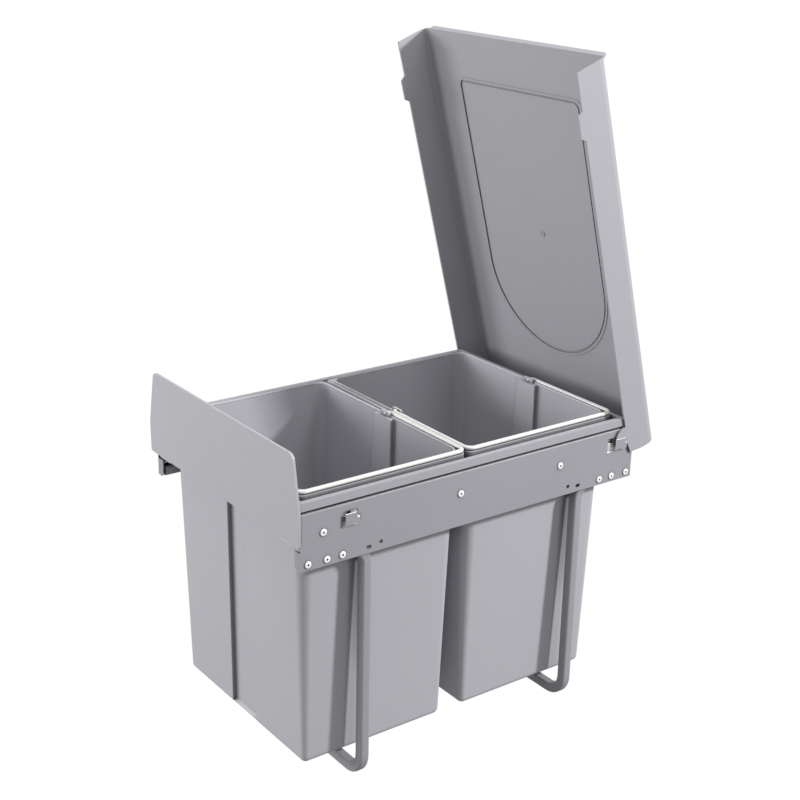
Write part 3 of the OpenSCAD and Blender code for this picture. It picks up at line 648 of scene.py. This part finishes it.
class PieceMesh:
    """Collects array surfaces in drawing millimetres and turns them into one object."""

    # points nearer than this, in metres, become one
    JOIN = 1e-7

    def __init__(self, name: str) -> None:
        """Starts an empty mesh for the piece of this name."""
        self._name = name
        self._points: list[np.ndarray] = []
        self._faces: list[np.ndarray] = []
        self._marks: list[int] = []
        self._count = 0

    def _add(self, points: np.ndarray) -> np.ndarray:
        """Adds points.

        Args:
            points: array of shape (..., 3).

        Returns:
            Their numbers in the mesh, in the array's own shape.
        """
        flat = points.reshape(-1, 3)
        first = self._count
        self._points.append(flat)
        self._count += len(flat)
        return first + np.arange(len(flat)).reshape(points.shape[:-1])

    def _add_faces(self, rows: np.ndarray, mark: int) -> None:
        """Adds faces.

        Args:
            rows: one row of point numbers for each face.
            mark: material index of the faces.
        """
        self._faces.append(rows)
        self._marks.extend([mark] * len(rows))

    def _close(self, ring: np.ndarray, centre: np.ndarray, mark: int) -> None:
        """Closes a ring by a fan of triangles about its middle.

        Args:
            ring: point numbers of the ring.
            centre: the middle.
            mark: material index of the faces.
        """
        hub = self._add(centre.reshape(1, 3))[0]
        self._add_faces(np.column_stack((ring, np.roll(ring, -1), np.full(len(ring), hub))), mark)

    def loft(self, rings: np.ndarray, capped: bool = True, mark: int = 0) -> None:
        """Joins closed rings by quads, from each point to the next on its ring and the next ring.

        Args:
            rings: array of shape (rings, points, 3).
            capped: closes the first and the last ring.
            mark: material index of the faces.
        """
        index = self._add(rings)
        near, far = index[:-1], index[1:]
        quads = np.stack((near, np.roll(near, -1, 1), np.roll(far, -1, 1), far), axis=-1)
        self._add_faces(quads.reshape(-1, 4), mark)
        if capped:
            self._close(index[0][::-1], rings[0].mean(0), mark)
            self._close(index[-1], rings[-1].mean(0), mark)

    def sweep(self, path: np.ndarray, wide: np.ndarray, deep: np.ndarray, section: np.ndarray) -> None:
        """Runs a section along a path: each ring is the path's point plus u wide plus v deep.

        Args:
            path: points, shape (m, 3).
            wide: direction of the section's first axis u at each point.
            deep: direction of its second axis v.
            section: closed outline of u and v at each point, shape (m, n, 2).
        """
        self.loft(path[:, None] + section[..., :1] * wide[:, None] + section[..., 1:] * deep[:, None])

    def build(self, finishes: list[bpy.types.Material], sharp: float = 50.0) -> bpy.types.Object:
        """Makes the object, with outward and weighted normals.

        Args:
            finishes: materials by face mark.
            sharp: edges that turn by more degrees than this stay sharp.

        Returns:
            The new object at the origin.
        """
        points = to_row(np.vstack(self._points))
        faces = [row for block in self._faces for row in block.tolist()]
        mesh = bpy.data.meshes.new(self._name)
        mesh.from_pydata(points.tolist(), [], faces)
        mesh.polygons.foreach_set("material_index", np.array(self._marks, np.int32))
        solid = bmesh.new()
        solid.from_mesh(mesh)
        bmesh.ops.remove_doubles(solid, verts=solid.verts, dist=self.JOIN)
        bmesh.ops.recalc_face_normals(solid, faces=solid.faces)
        solid.to_mesh(mesh)
        solid.free()
        mesh.shade_smooth()
        mesh.set_sharp_from_angle(angle=math.radians(sharp))
        for finish in finishes:
            mesh.materials.append(finish)
        obj = bpy.data.objects.new(self._name, mesh)
        bpy.context.scene.collection.objects.link(obj)
        normals = obj.modifiers.new("normals", "WEIGHTED_NORMAL")
        normals.keep_sharp = True
        return obj


@dataclass(frozen=True)
class Ear:
    """Rounded ear on a bin's lip, with the hole of the bail's pin.

    Attributes:
        corner: radius of its upper corners.
        corner_steps: spans in a corner.
        corner_x: distance of their middles from the ear's middle.
        corner_z: drawing height of their middles.
        foot_x: where the foot's points lie, on both sides.
        foot_z: drawing height of its foot.
        hole: radius of the hole.
        hole_z: drawing height of the hole's middle.
        faces: distance from the bin's middle and inset of the outline, from face to face.
        half_size: the outline's half size, which the inset is a share of.
    """

    corner: float = 2.8
    corner_steps: int = 5
    corner_x: float = 6.2
    corner_z: float = 86.5
    foot_x: tuple[float, float] = (9.0, 4.0)
    foot_z: float = 82.0
    hole: float = 2.08
    hole_z: float = 85.9
    faces: Profile = (
        (105.8, 0.5), (106.1, 0.1), (106.4, 0.0), (108.1, 0.0), (108.4, 0.1), (108.65, 0.5),
    )
    half_size: float = 6.0

    def add_to(self, mesh: PieceMesh, side: int, centre_y: float) -> None:
        """Adds the ear as a closed tube: from the hole out over the outline and back.

        Args:
            mesh: the bin's mesh.
            side: 1 for the ear towards the back, -1 for the one towards the front.
            centre_y: middle of the bin along Y.
        """
        wide, narrow = self.foot_x
        right = arc((self.corner_x, self.corner_z), self.corner, 0, 90, self.corner_steps)
        left = arc((-self.corner_x, self.corner_z), self.corner, 90, 180, self.corner_steps)
        foot = [(x, self.foot_z) for x in (-wide, -narrow, narrow, wide)]
        middle = np.array([0.0, self.hole_z])
        ray = np.vstack((right, left, foot)) - middle
        hole = middle + self.hole * ray / np.linalg.norm(ray, axis=1, keepdims=True)
        distance, inset = np.array(self.faces).T
        outlines = middle + ray * (1 - inset / self.half_size)[:, None, None]
        outlines = np.concatenate(([hole], outlines, [hole, hole]))
        distance = np.concatenate((distance[:1], distance, distance[-1:], distance[:1]))
        along = np.broadcast_to(side * distance[:, None], outlines.shape[:2])
        mesh.loft(np.stack((outlines[..., 0], along + centre_y, outlines[..., 1]), axis=-1), capped=False)


@dataclass(frozen=True)
class Tub:
    """One moulded bin: a lofted shell with finger recesses, a skirted rim and bail ears.

    Half widths are those at the floor, and grow by the draft times the height above it.

    Attributes:
        name: the piece's name.
        node: CAD node that it stands for.
        body: body that it moves with.
        centre_y: middle of the bin along Y.
        floor_level: drawing height of the floor. Other heights are from the floor up.
        floor_x: half width across at the floor.
        floor_y: half width along at the floor.
        height: height of the lip.
        draft: growth of the half widths for each millimetre of height.
        wall: thickness of the wall.
        base: thickness of the floor.
        base_round: inner round between floor and wall.
        foot: outer round between floor and wall.
        corner: radius of the upright corners at the floor.
        corner_loss: share of an inset that their radius loses.
        least_corner: radius that they keep.
        rim: height of the rim's top.
        rim_width: how far the rim stands out from the wall.
        rim_corner: radius of the rim's corners.
        least_rim_corner: radius that they keep at an inset.
        rim_sheet: thickness of the rim and its skirt.
        rim_round: round between the rim's top and its skirt.
        rim_spread: how much wider the recesses' places are on the rim.
        ledge: height of the skirt's lower edge.
        soft: chamfer of that edge.
        fillet: round where the wall meets the rim.
        fillet_share: how near its middle point lies to rim and lip, as a share of it.
        neck: how far the wall flares under the rim.
        lip_round: round of the lip, nearly half its wall.
        recess: depth of the finger recesses.
        least_recess: depth that stands for none.
        recess_low: their half width at the floor.
        recess_high: their half width under the rim.
        recess_foot: height over which they run out at the foot.
        recess_fade: start and length of that stretch, as shares of recess_foot.
        recess_step: drop behind the rim before they start inside.
        recess_start: how far under the rim the inner wall's even rings start.
        edge: round of their upright edges.
        edge_rounds: rounds that fit into the recess' depth, two and a little more.
        notch: half width of the notch in the lip for the bail's elbows.
        notch_rise: its floor's height above the rim.
        flank: width of its sloping sides.
        side_points: points between the corners on the two sides.
        lead_points: points between a corner and a recess.
        corner_steps: spans in a corner.
        edge_steps: spans in a recess' edge.
        foot_steps: spans in the foot's round.
        wall_rings: rings up the outer wall.
        inner_rings: rings down the inner wall.
        round_steps: spans in a quarter of the other rounds.
    """

    name: str
    node: str
    body: str
    centre_y: float
    floor_level: float = -267.0
    floor_x: float = 135.509
    floor_y: float = 99.4
    height: float = 352.5
    draft: float = 0.03
    wall: float = 2.2
    base: float = 2.6
    base_round: float = 3.2
    foot: float = 8.0
    corner: float = 6.5
    corner_loss: float = 0.7
    least_corner: float = 2.0
    rim: float = 350.0
    rim_width: float = 5.2
    rim_corner: float = 9.0
    least_rim_corner: float = 1.0
    rim_sheet: float = 1.8
    rim_round: float = 1.3
    rim_spread: float = 1.0
    ledge: float = 339.7
    soft: float = 0.3
    fillet: float = 0.5
    fillet_share: float = 0.3
    neck: float = 0.4
    lip_round: float = 0.9
    recess: float = 5.5
    least_recess: float = 0.02
    recess_low: float = 28.0
    recess_high: float = 15.0
    recess_foot: float = 4.5
    recess_fade: tuple[float, float] = (0.4, 1.2)
    recess_step: float = 0.6
    recess_start: float = 2.0
    edge: float = 1.1
    edge_rounds: float = 2.05
    notch: float = 3.5
    notch_rise: float = 0.1
    flank: float = 0.4
    side_points: int = 3
    lead_points: int = 2
    corner_steps: int = 6
    edge_steps: int = 3
    foot_steps: int = 12
    wall_rings: int = 8
    inner_rings: int = 8
    round_steps: int = 4

    @property
    def under_rim(self) -> float:
        """Height of the rim's underside."""
        return self.rim - self.rim_sheet

    def _outline(
        self, half_x: float, half_y: float, radius: float, recess: float, half: float
    ) -> np.ndarray:
        """Closed outline with a recess in its front and back, counterclockwise from the +X side.

        One quarter is a corner arc, a straight lead and an S of two arcs into the recess.
        The other three are its mirror images.

        Args:
            half_x: half width across.
            half_y: half width along.
            radius: radius of the corners.
            recess: depth of the recess.
            half: half width of the recess.

        Returns:
            Array of shape (points, 2).
        """
        edge = min(self.edge, max(recess, self.least_recess) / self.edge_rounds)
        straight = np.linspace(radius - half_y, half_y - radius, self.side_points + 2)[1:-1]
        side = np.column_stack((np.full(len(straight), half_x), straight))
        corner = arc((half_x - radius, half_y - radius), radius, 0, 90, self.corner_steps)
        run = np.linspace(half_x - radius, half + edge, self.lead_points + 2)[1:-1]
        lead = np.column_stack((run, np.full(len(run), half_y)))
        convex = arc((half + edge, half_y - edge), edge, 90, 180, self.edge_steps)
        concave = arc((half - edge, half_y - recess + edge), edge, 0, -90, self.edge_steps)
        quarter = np.vstack((corner, lead, convex, concave))
        outer = self.notch + self.flank
        across = np.array([outer, self.notch, 0.0, -self.notch, -outer])
        middle = np.column_stack((across, np.full(len(across), half_y - recess)))
        top = np.vstack((quarter, middle, quarter[::-1] * (-1, 1)))
        return np.vstack((side, top, side * (-1, -1), top * (-1, -1)))

    def _lift(self, outline: np.ndarray, height: float) -> np.ndarray:
        """Puts a flat outline at a height above the floor, in the drawing's axes."""
        level = np.full((len(outline), 1), height)
        return np.hstack((outline, level)) + (0.0, self.centre_y, self.floor_level)

    def _ring(self, height: float, inset: float, recess: float | None = None) -> np.ndarray:
        """Ring of the wall: the floor's half widths plus draft times height, less the inset.

        Args:
            height: height above the floor.
            inset: how far it lies inside the outer wall.
            recess: depth of the finger recess there, or None for the full depth.

        Returns:
            Array of shape (points, 3).
        """
        growth = self.draft * height
        radius = max(self.corner + growth - self.corner_loss * inset, self.least_corner)
        share = min(max(height / self.under_rim, 0.0), 1.0)
        half = self.recess_low + (self.recess_high - self.recess_low) * share + inset
        depth = self.recess if recess is None else recess
        half_x, half_y = self.floor_x + growth - inset, self.floor_y + growth - inset
        return self._lift(self._outline(half_x, half_y, radius, depth, half), height)

    def _rim_ring(self, height: float, inset: float) -> np.ndarray:
        """Ring of the rim, which has upright sides and no recess.

        Args:
            height: height above the floor.
            inset: how far it lies inside the rim's outer face.

        Returns:
            Array of shape (points, 3), as many as in the wall's rings.
        """
        stand_out = self.draft * self.height + self.rim_width - inset
        half_x, half_y = self.floor_x + stand_out, self.floor_y + stand_out
        radius = max(self.rim_corner - inset, self.least_rim_corner)
        half = self.recess_high + self.rim_spread
        return self._lift(self._outline(half_x, half_y, radius, 0.0, half), height)

    def _lip_ring(self, height: float, inset: float) -> np.ndarray:
        """Ring of the lip, lowered where the bail's elbows lie.

        Args:
            height: height above the floor.
            inset: how far it lies inside the outer wall.

        Returns:
            Array of shape (points, 3).
        """
        ring = self._ring(height, inset, 0.0)
        elbow = np.abs(ring[:, 0]) < self.notch + self.flank / 2
        ring[elbow, 2] = self.rim + self.floor_level + self.notch_rise
        return ring

    def _fade(self, height: float) -> float:
        """Depth of the outer recess over the foot.

        It grows as 3 t squared less 2 t cubed, where t is the share of the way up.

        Args:
            height: height above the floor.

        Returns:
            The depth.
        """
        start, length = (share * self.recess_foot for share in self.recess_fade)
        share = min(max((height - start) / length, 0.0), 1.0)
        return self.recess * share * share * (3.0 - 2.0 * share)

    def _outside(self) -> list[np.ndarray]:
        """Goes from under the floor up the outer wall.

        Returns:
            The rings in order.
        """
        foot = rounding(self.foot, 90.0, self.foot_steps)
        rings = [self._ring(drop, self.foot - rise, self._fade(drop)) for rise, drop in foot]
        wall = np.linspace(self.foot, self.under_rim - self.neck, self.wall_rings + 1)[1:]
        return rings + [self._ring(z, 0.0) for z in wall] + [self._ring(self.under_rim, -self.neck)]

    def _rim(self) -> list[np.ndarray]:
        """Goes out under the rim, down and up its skirt, and in over its top.

        Returns:
            The rings in order.
        """
        sheet, soft, fillet, width = self.rim_sheet, self.soft, self.fillet, self.rim_width
        steps = [
            (self.under_rim, sheet + fillet),
            (self.under_rim - fillet, sheet),
            (self.ledge + soft, sheet),
            (self.ledge, sheet - soft),
            (self.ledge, soft),
            (self.ledge + soft, 0.0),
        ]
        low = self.rim - self.rim_round
        rounded = rounding(self.rim_round, 90.0, self.round_steps)
        steps += [(low + rise, inset) for rise, inset in rounded]
        near = self.fillet_share * fillet
        steps += [(self.rim, width - fillet), (self.rim + near, width - near), (self.rim + fillet, width)]
        return [self._rim_ring(height, inset) for height, inset in steps]

    def _inside(self) -> list[np.ndarray]:
        """Goes over the lip and down the inner wall to the floor.

        Returns:
            The rings in order.
        """
        low = self.height - self.lip_round
        lip = rounding(self.lip_round, 180.0, 2 * self.round_steps)
        rings = [self._lip_ring(low + rise, inset) for rise, inset in lip]
        behind = self.under_rim + self.wall
        rings += [self._ring(self.rim, self.wall, 0.0), self._ring(behind, self.wall, 0.0)]
        rings.append(self._ring(behind - self.recess_step, self.wall))
        floor = self.base + self.base_round
        wall = np.linspace(self.under_rim - self.recess_start, floor, self.inner_rings)
        rings += [self._ring(z, self.wall) for z in wall]
        turn = rounding(self.base_round, 90.0, self.round_steps)[1:]
        return rings + [self._ring(floor - rise, self.wall + inset) for rise, inset in turn]

    def build(self, finish: bpy.types.Material) -> bpy.types.Object:
        """Makes the bin and puts it on its body.

        Args:
            finish: its material.

        Returns:
            The new piece.
        """
        mesh = PieceMesh(self.name)
        mesh.loft(np.array(self._outside() + self._rim() + self._inside()))
        for side in (1, -1):
            Ear().add_to(mesh, side, self.centre_y)
        obj = mesh.build([finish])
        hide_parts(self.node)
        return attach(obj, self.body)


@dataclass(frozen=True)
class Hoop:
    """One bent tube hoop: a run along each plate, a leg down each side and a floor run.

    Attributes:
        name: the piece's name.
        node: CAD node that it stands for.
        inset: distance of the legs from the plates' end.
        mirrored: whether it hangs at the plates' back end.
        level: height of the runs along the plates.
        top_bend: radius of the bends between runs and legs.
        floor_bend: radius of the bends between legs and floor run.
        steps: spans in a bend.
        lead: distance of a straight stretch's points from the bends.
        tube_x: width of the tube across the plates.
        tube_y: its other width.
        wall: thickness of its wall.
        corner: radius of the tube's corners.
        corner_steps: spans in a corner.
        run_clear: distance of its open ends from the plates' ends.
        open_depth: how far the open ends are hollow.
    """

    name: str
    node: str
    inset: float
    mirrored: bool
    level: float = 7.5
    top_bend: float = 22.0
    floor_bend: float = 26.0
    steps: int = 12
    lead: float = 6.0
    tube_x: float = 13.0
    tube_y: float = 12.6
    wall: float = 1.5
    corner: float = 3.0
    corner_steps: int = 5
    run_clear: float = 3.0
    open_depth: float = 14.0

    @property
    def leg_x(self) -> float:
        """Distance of the legs from the unit's middle, against the plates' inner faces."""
        return PLATE_FACE - PLATE_GAUGE - self.tube_x / 2

    @property
    def floor(self) -> float:
        """Height of the floor run's middle."""
        return Z_LOW + self.tube_x / 2

    def _bend(self, centre: Point, start: np.ndarray, end: np.ndarray, radius: float) -> np.ndarray:
        """Quarter bend of the centre line.

        The outward direction is cos t times the end plus sin t times the start, as t falls
        from 90 degrees, and the point is the centre plus the radius times that direction.

        Args:
            centre: the bend's middle.
            start: outward direction where it starts.
            end: outward direction where it ends.
            radius: its radius.

        Returns:
            Array of points and outward directions, of shape (2, points, 3).
        """
        angle = np.radians(np.linspace(90.0, 0.0, self.steps + 1))[:, None]
        out = np.cos(angle) * end + np.sin(angle) * start
        return np.array((np.array(centre) + radius * out, out))

    def _half(self) -> tuple[np.ndarray, np.ndarray, np.ndarray]:
        """Right half of the centre line, from the open end to the middle of the floor run.

        Returns:
            The points, and the directions of the tube's two widths at each.
        """
        x_axis, y_axis, z_axis = np.eye(3)
        top_y, top_z = self.inset - self.top_bend, self.level - self.top_bend
        low_x, low_z = self.leg_x - self.floor_bend, self.floor + self.floor_bend
        run = [(self.leg_x, y, self.level) for y in (self.run_clear, top_y - self.lead)]
        top, top_out = self._bend((self.leg_x, top_y, top_z), z_axis, y_axis, self.top_bend)
        leg = [(self.leg_x, self.inset, z) for z in (top_z - self.lead, low_z + self.lead)]
        low, low_out = self._bend((low_x, self.inset, low_z), x_axis, -z_axis, self.floor_bend)
        end = (low_x - self.lead, self.inset, self.floor)
        straight, bent = (2, 1), (self.steps + 1, 1)
        upper_x = np.tile(x_axis, (len(run) + len(top) + len(leg), 1))
        run_z, leg_y = np.tile(z_axis, straight), np.tile(y_axis, straight)
        path = np.vstack((run, top, leg, low, end))
        wide = np.vstack((upper_x, low_out, -z_axis))
        deep = np.vstack((run_z, top_out, leg_y, np.tile(y_axis, bent), y_axis))
        return path, wide, deep

    def build(self, finish: bpy.types.Material) -> bpy.types.Object:
        """Makes the hoop and puts it on the frame.

        Args:
            finish: its material.

        Returns:
            The new piece.
        """
        path, wide, deep = (np.vstack((half, half[::-1] * LEFT_RIGHT)) for half in self._half())
        # each open end narrows to the bore and runs back into the tube
        inward = (0.0, self.open_depth, 0.0)
        path = np.vstack((path[:1] + inward, path[:1], path, path[-1:], path[-1:] + inward))
        wide, deep = (np.vstack((v[:1], v[:1], v, v[-1:], v[-1:])) for v in (wide, deep))
        outer = rounded_rect(self.tube_x, self.tube_y, self.corner, self.corner_steps)
        bore_x, bore_y = self.tube_x - 2 * self.wall, self.tube_y - 2 * self.wall
        inner = rounded_rect(bore_x, bore_y, self.corner - self.wall, self.corner_steps)
        sections = np.array([inner, inner] + [outer] * (len(path) - 4) + [inner, inner])
        if self.mirrored:
            path = path * FRONT_BACK + (0.0, PLATE_LENGTH, 0.0)
            wide, deep = wide * FRONT_BACK, deep * FRONT_BACK
        mesh = PieceMesh(self.name)
        mesh.sweep(path, wide, deep, sections)
        obj = mesh.build([finish])
        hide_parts(self.node)
        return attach(obj, "frame")


@dataclass(frozen=True)
class RivetSet:
    """Blind rivets with domed heads and a hollow mandrel end, painted near black for the hole's shade.

    Attributes:
        name: the piece's name.
        node: CAD node that it stands for.
        places: Y and Z of the rivets, on both plates.
        shank: distance from the plate's face and radius, along the shank.
        dome: the same over the head, from its edge to the hole.
        core: the same inside the hole, down to the mandrel's end.
        facets: sides of a rivet.
        least_radius: radius that stands for a point on the axis.
        sharp: edges that turn by more degrees than this stay sharp.
    """

    name: str
    node: str
    places: Profile
    shank: Profile = ((-2.9, 0.0), (-2.9, 2.2), (-2.7, 2.4), (-0.02, 2.4))
    dome: Profile = (
        (0.0, 4.1), (0.18, 4.3), (0.62, 4.3), (0.95, 4.14), (1.16, 3.75), (1.28, 3.2), (1.38, 2.4),
        (1.42, 1.6), (1.38, 1.25),
    )
    core: Profile = ((1.38, 1.25), (1.05, 1.12), (0.55, 1.05), (0.5, 0.9), (0.62, 0.0))
    facets: int = 30
    least_radius: float = 0.01
    sharp: float = 60.0

    def _lathe(self, profile: Profile, side: int, y: float, z: float) -> np.ndarray:
        """Turns a profile about an axis along X: y plus r cos t, z plus r sin t.

        Args:
            profile: distance from the plate's face and radius r.
            side: 1 for the right plate, -1 for the left one.
            y: the axis' place along Y.
            z: the axis' height.

        Returns:
            Array of shape (profile, facets, 3).
        """
        out, radius = np.array(profile).T[:, :, None]
        radius = np.maximum(radius, self.least_radius)
        angle = np.radians(np.arange(self.facets) * (360.0 / self.facets))
        across = np.broadcast_to(side * (PLATE_FACE + out), (len(profile), self.facets))
        return np.stack((across, y + radius * np.cos(angle), z + radius * np.sin(angle)), axis=-1)

    def build(self, finish: bpy.types.Material, core: bpy.types.Material) -> bpy.types.Object:
        """Makes all rivets of the set as one piece.

        Args:
            finish: material of the shank and head.
            core: material inside the hole.

        Returns:
            The new piece.
        """
        mesh = PieceMesh(self.name)
        for side in (1, -1):
            for y, z in self.places:
                mesh.loft(self._lathe(self.shank + self.dome, side, y, z), capped=False)
                mesh.loft(self._lathe(self.core, side, y, z), capped=False, mark=1)
        obj = mesh.build([finish, core], sharp=self.sharp)
        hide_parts(self.node)
        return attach(obj, "frame")


@dataclass(frozen=True)
class Bail:
    """One folded bail: a coated rod that ends in two pins.

    Attributes:
        name: the piece's name.
        node: CAD node that it stands for.
        body: body that it moves with.
        centre_y: middle of its bin along Y.
        rod: radius of the rod.
        stand_off: how far the rod lies outside the bin's lip.
        level: drawing height of the rod's middle, which is the holes' height.
        bend: radius of the bends between arms and near run.
        elbow: radius of the bends between pins and arms.
        lead: distance of an arm's points from its bends.
        last: distance of the near run's last point from its bend.
        tip_y: distance of the pin's tip from the bin's middle.
        pin: distance from the tip and radius there.
        shoulder_y: distance of the shoulder from the bin's middle.
        shoulder: distance from the shoulder and radius there, from pin to rod.
        shoulder_gap: least distance of the elbow's points from the shoulder.
        elbow_steps: spans in an elbow.
        arm_points: points along an arm.
        bend_steps: spans in a bend at the near run.
        facets: sides of the rod.
    """

    name: str
    node: str
    body: str
    centre_y: float
    rod: float = 2.6
    stand_off: float = 0.4
    level: float = Ear.hole_z
    bend: float = 9.0
    elbow: float = 4.0
    lead: float = 4.0
    last: float = 6.0
    tip_y: float = 104.8
    pin: Profile = ((0.0, 0.6), (0.2, 1.5), (0.7, 2.0))
    shoulder_y: float = 109.0
    shoulder: Profile = ((-0.4, 2.0), (-0.3, 2.25), (0.0, 2.6))
    shoulder_gap: float = 0.05
    elbow_steps: int = 6
    arm_points: int = 6
    bend_steps: int = 8
    facets: int = 20

    @property
    def near_x(self) -> float:
        """Distance of the near run from the bin's middle."""
        return Tub.floor_x + Tub.draft * Tub.height + self.rod + self.stand_off

    @property
    def arm_y(self) -> float:
        """Distance of the two arms from the bin's middle."""
        return Tub.floor_y + Tub.draft * Tub.height + self.rod + self.stand_off

    def _half(self) -> tuple[np.ndarray, np.ndarray]:
        """Centre line from the pin's tip to the middle of the near run.

        Returns:
            The points from the bin's middle, and the radius at each.
        """
        stub = [(self.tip_y + y, radius) for y, radius in self.pin]
        stub += [(self.shoulder_y + y, radius) for y, radius in self.shoulder]
        stub_y, stub_radius = np.array(stub).T
        elbow = arc((self.elbow, self.arm_y - self.elbow), self.elbow, 180, 90, self.elbow_steps)
        elbow = elbow[elbow[:, 1] > self.shoulder_y + self.shoulder_gap]
        run = np.linspace(self.elbow + self.lead, self.near_x - self.bend - self.lead, self.arm_points)
        arm = np.column_stack((run, np.full(len(run), self.arm_y)))
        turn = arc((self.near_x - self.bend, self.arm_y - self.bend), self.bend, 90, 0, self.bend_steps)
        end = (self.near_x, self.arm_y - self.bend - self.last)
        line = np.vstack((elbow, arm, turn, end))
        points = np.vstack((np.column_stack((np.zeros(len(stub)), stub_y)), line))
        return points, np.concatenate((stub_radius, np.full(len(line), self.rod)))

    def build(self, finish: bpy.types.Material) -> bpy.types.Object:
        """Makes the bail and puts it on its body.

        Args:
            finish: its material.

        Returns:
            The new piece.
        """
        flat, radius = self._half()
        flat = np.vstack((flat, flat[::-1] * (1, -1)))
        radius = np.concatenate((radius, radius[::-1]))
        path = np.column_stack((flat[:, 0], flat[:, 1] + self.centre_y, np.full(len(flat), self.level)))
        along = np.gradient(path, axis=0)
        along /= np.linalg.norm(along, axis=1, keepdims=True)
        up = np.tile((0.0, 0.0, 1.0), (len(path), 1))
        circle = arc((0.0, 0.0), 1.0, 0, 360, self.facets)[:-1]
        mesh = PieceMesh(self.name)
        mesh.sweep(path, np.cross(up, along), up, radius[:, None, None] * circle)
        obj = mesh.build([finish])
        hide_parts(self.node)
        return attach(obj, self.body)


@dataclass(frozen=True)
class EdgeSoftener:
    """Rounds the edges of a CAD node by modifiers, which leave its mesh as packed.

    Attributes:
        width: width of the rounding.
        join_faces: joins coplanar faces first, which closes small openings.
        segments: faces across a rounding.
        weld: distance in metres at which points become one.
        coplanar: faces that turn by fewer degrees than this are joined.
        corner: edges that turn by more degrees than this are rounded.
        weight: how far large faces set the normals, in percent.
    """

    width: float
    join_faces: bool
    segments: int = 2
    weld: float = 1e-6
    coplanar: float = 1.0
    corner: float = 40.0
    weight: int = 60

    def apply(self, obj: bpy.types.Object) -> None:
        """Adds a weld and a bevel, and keeps the flat faces flat to the light.

        Args:
            obj: the object whose edges are rounded.
        """
        weld = obj.modifiers.new("weld", "WELD")
        weld.merge_threshold = self.weld
        if self.join_faces:
            flat = obj.modifiers.new("flat", "DECIMATE")
            flat.decimate_type = "DISSOLVE"
            flat.angle_limit = math.radians(self.coplanar)
        bevel = obj.modifiers.new("bevel", "BEVEL")
        bevel.width = self.width * MM
        bevel.segments = self.segments
        bevel.limit_method = "ANGLE"
        bevel.angle_limit = math.radians(self.corner)
        bevel.miter_outer = "MITER_ARC"
        bevel.use_clamp_overlap = True
        if not self.join_faces:
            bevel.harden_normals = True
            return
        normals = obj.modifiers.new("normals", "WEIGHTED_NORMAL")
        normals.weight = self.weight
        normals.keep_sharp = False


class WasteUnit:
    """The whole unit: CAD nodes with finishes, and the pieces modelled here."""

    # width of the rounding by node, in millimetres
    SOFT_EDGES = {
        "side_plate_right": 0.3,
        "side_plate_left": 0.3,
        "carrier_frame": 0.5,
        "front_panel": 0.7,
        "lid": 0.6,
        "slide_outer_right": 0.2,
        "slide_outer_left": 0.2,
        "slide_middle_right": 0.2,
        "slide_middle_left": 0.2,
        "slide_inner_right": 0.2,
        "slide_inner_left": 0.2,
    }
    # joined flat faces would close over this node's openings
    KEEP_FACES = ("carrier_frame",)
    # middles of the bins, and distances of the hoops' legs from the plates' ends
    FRONT_BIN_Y = 121.275
    REAR_BIN_Y = 353.225
    FRONT_LEG = 89.5
    REAR_LEG = 84.5
    # hoop rivets: distances from either end of the plates
    HOOP_RIVETS = (9.0, 33.5, 54.0)
    # slide rivets: distances from the plates' front ends, and height
    SLIDE_RIVETS = (28.8, 218.0, 371.0)
    SLIDE_LEVEL = 41.0

    def __init__(self, frame: dict, finishes: FinishLibrary) -> None:
        """Keeps the loaded frame and the finishes."""
        self._frame = frame
        self._finishes = finishes

    def dress_nodes(self) -> None:
        """Gives every CAD node its slot's finish, and rounds the edges of most."""
        slots = {s["node"]: s["material_slot"] for s in self._frame["record"]["subparts"]}
        for name, obj in self._frame["nodes"].items():
            obj.data.materials.clear()
            obj.data.materials.append(self._finishes.get(Slot(slots[name])))
            if name in self.SOFT_EDGES:
                EdgeSoftener(self.SOFT_EDGES[name], name not in self.KEEP_FACES).apply(obj)

    def build_pieces(self) -> list[bpy.types.Object]:
        """Makes the pieces that stand for CAD nodes.

        Returns:
            The new pieces.
        """
        moulded, coated = self._finishes.get(Slot.BIN), self._finishes.get(Slot.STEEL)
        rod, metal = self._finishes.get(Slot.BAIL), self._finishes.get(Slot.RIVET)
        core = self._finishes.core()
        ends = [(y, PLATE_LENGTH - y) for y in self.HOOP_RIVETS]
        low = tuple((y, Hoop.level) for pair in ends for y in pair)
        high = tuple((y, self.SLIDE_LEVEL) for y in self.SLIDE_RIVETS)
        return [
            Tub("bin_front_tub", "bin_front", "bin_f", self.FRONT_BIN_Y).build(moulded),
            Tub("bin_rear_tub", "bin_rear", "bin_r", self.REAR_BIN_Y).build(moulded),
            Hoop("hoop_front_tube", "hoop_front", self.FRONT_LEG, mirrored=False).build(coated),
            Hoop("hoop_rear_tube", "hoop_rear", self.REAR_LEG, mirrored=True).build(coated),
            Bail("bail_front_rod", "bail_front", "bail_f", self.FRONT_BIN_Y).build(rod),
            Bail("bail_rear_rod", "bail_rear", "bail_r", self.REAR_BIN_Y).build(rod),
            RivetSet("hoop_rivet_heads", "hoop_rivets", low).build(metal, core),
            RivetSet("slide_rivet_heads", "slide_rivets", high).build(metal, core),
        ]


def set_render() -> None:
    """Sets Cycles with the standard view."""
    scene = bpy.context.scene
    scene.render.engine = "CYCLES"
    scene.view_settings.view_transform = "Standard"
    scene.view_settings.look = "None"
    scene.cycles.samples = SAMPLES
    scene.cycles.use_denoising = True


def main() -> None:
    """Builds the scene."""
    logging.basicConfig(level=logging.INFO, format="%(message)s")
    for obj in list(bpy.data.objects):
        bpy.data.objects.remove(obj)
    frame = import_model()
    CameraSolve().build()
    Studio().build()
    unit = WasteUnit(frame, FinishLibrary(ShaderEffects()))
    unit.dress_nodes()
    for piece in unit.build_pieces():
        LOG.info("%s: %d faces", piece.name, len(piece.data.polygons))
    set_render()


if __name__ == "__main__":
    main()
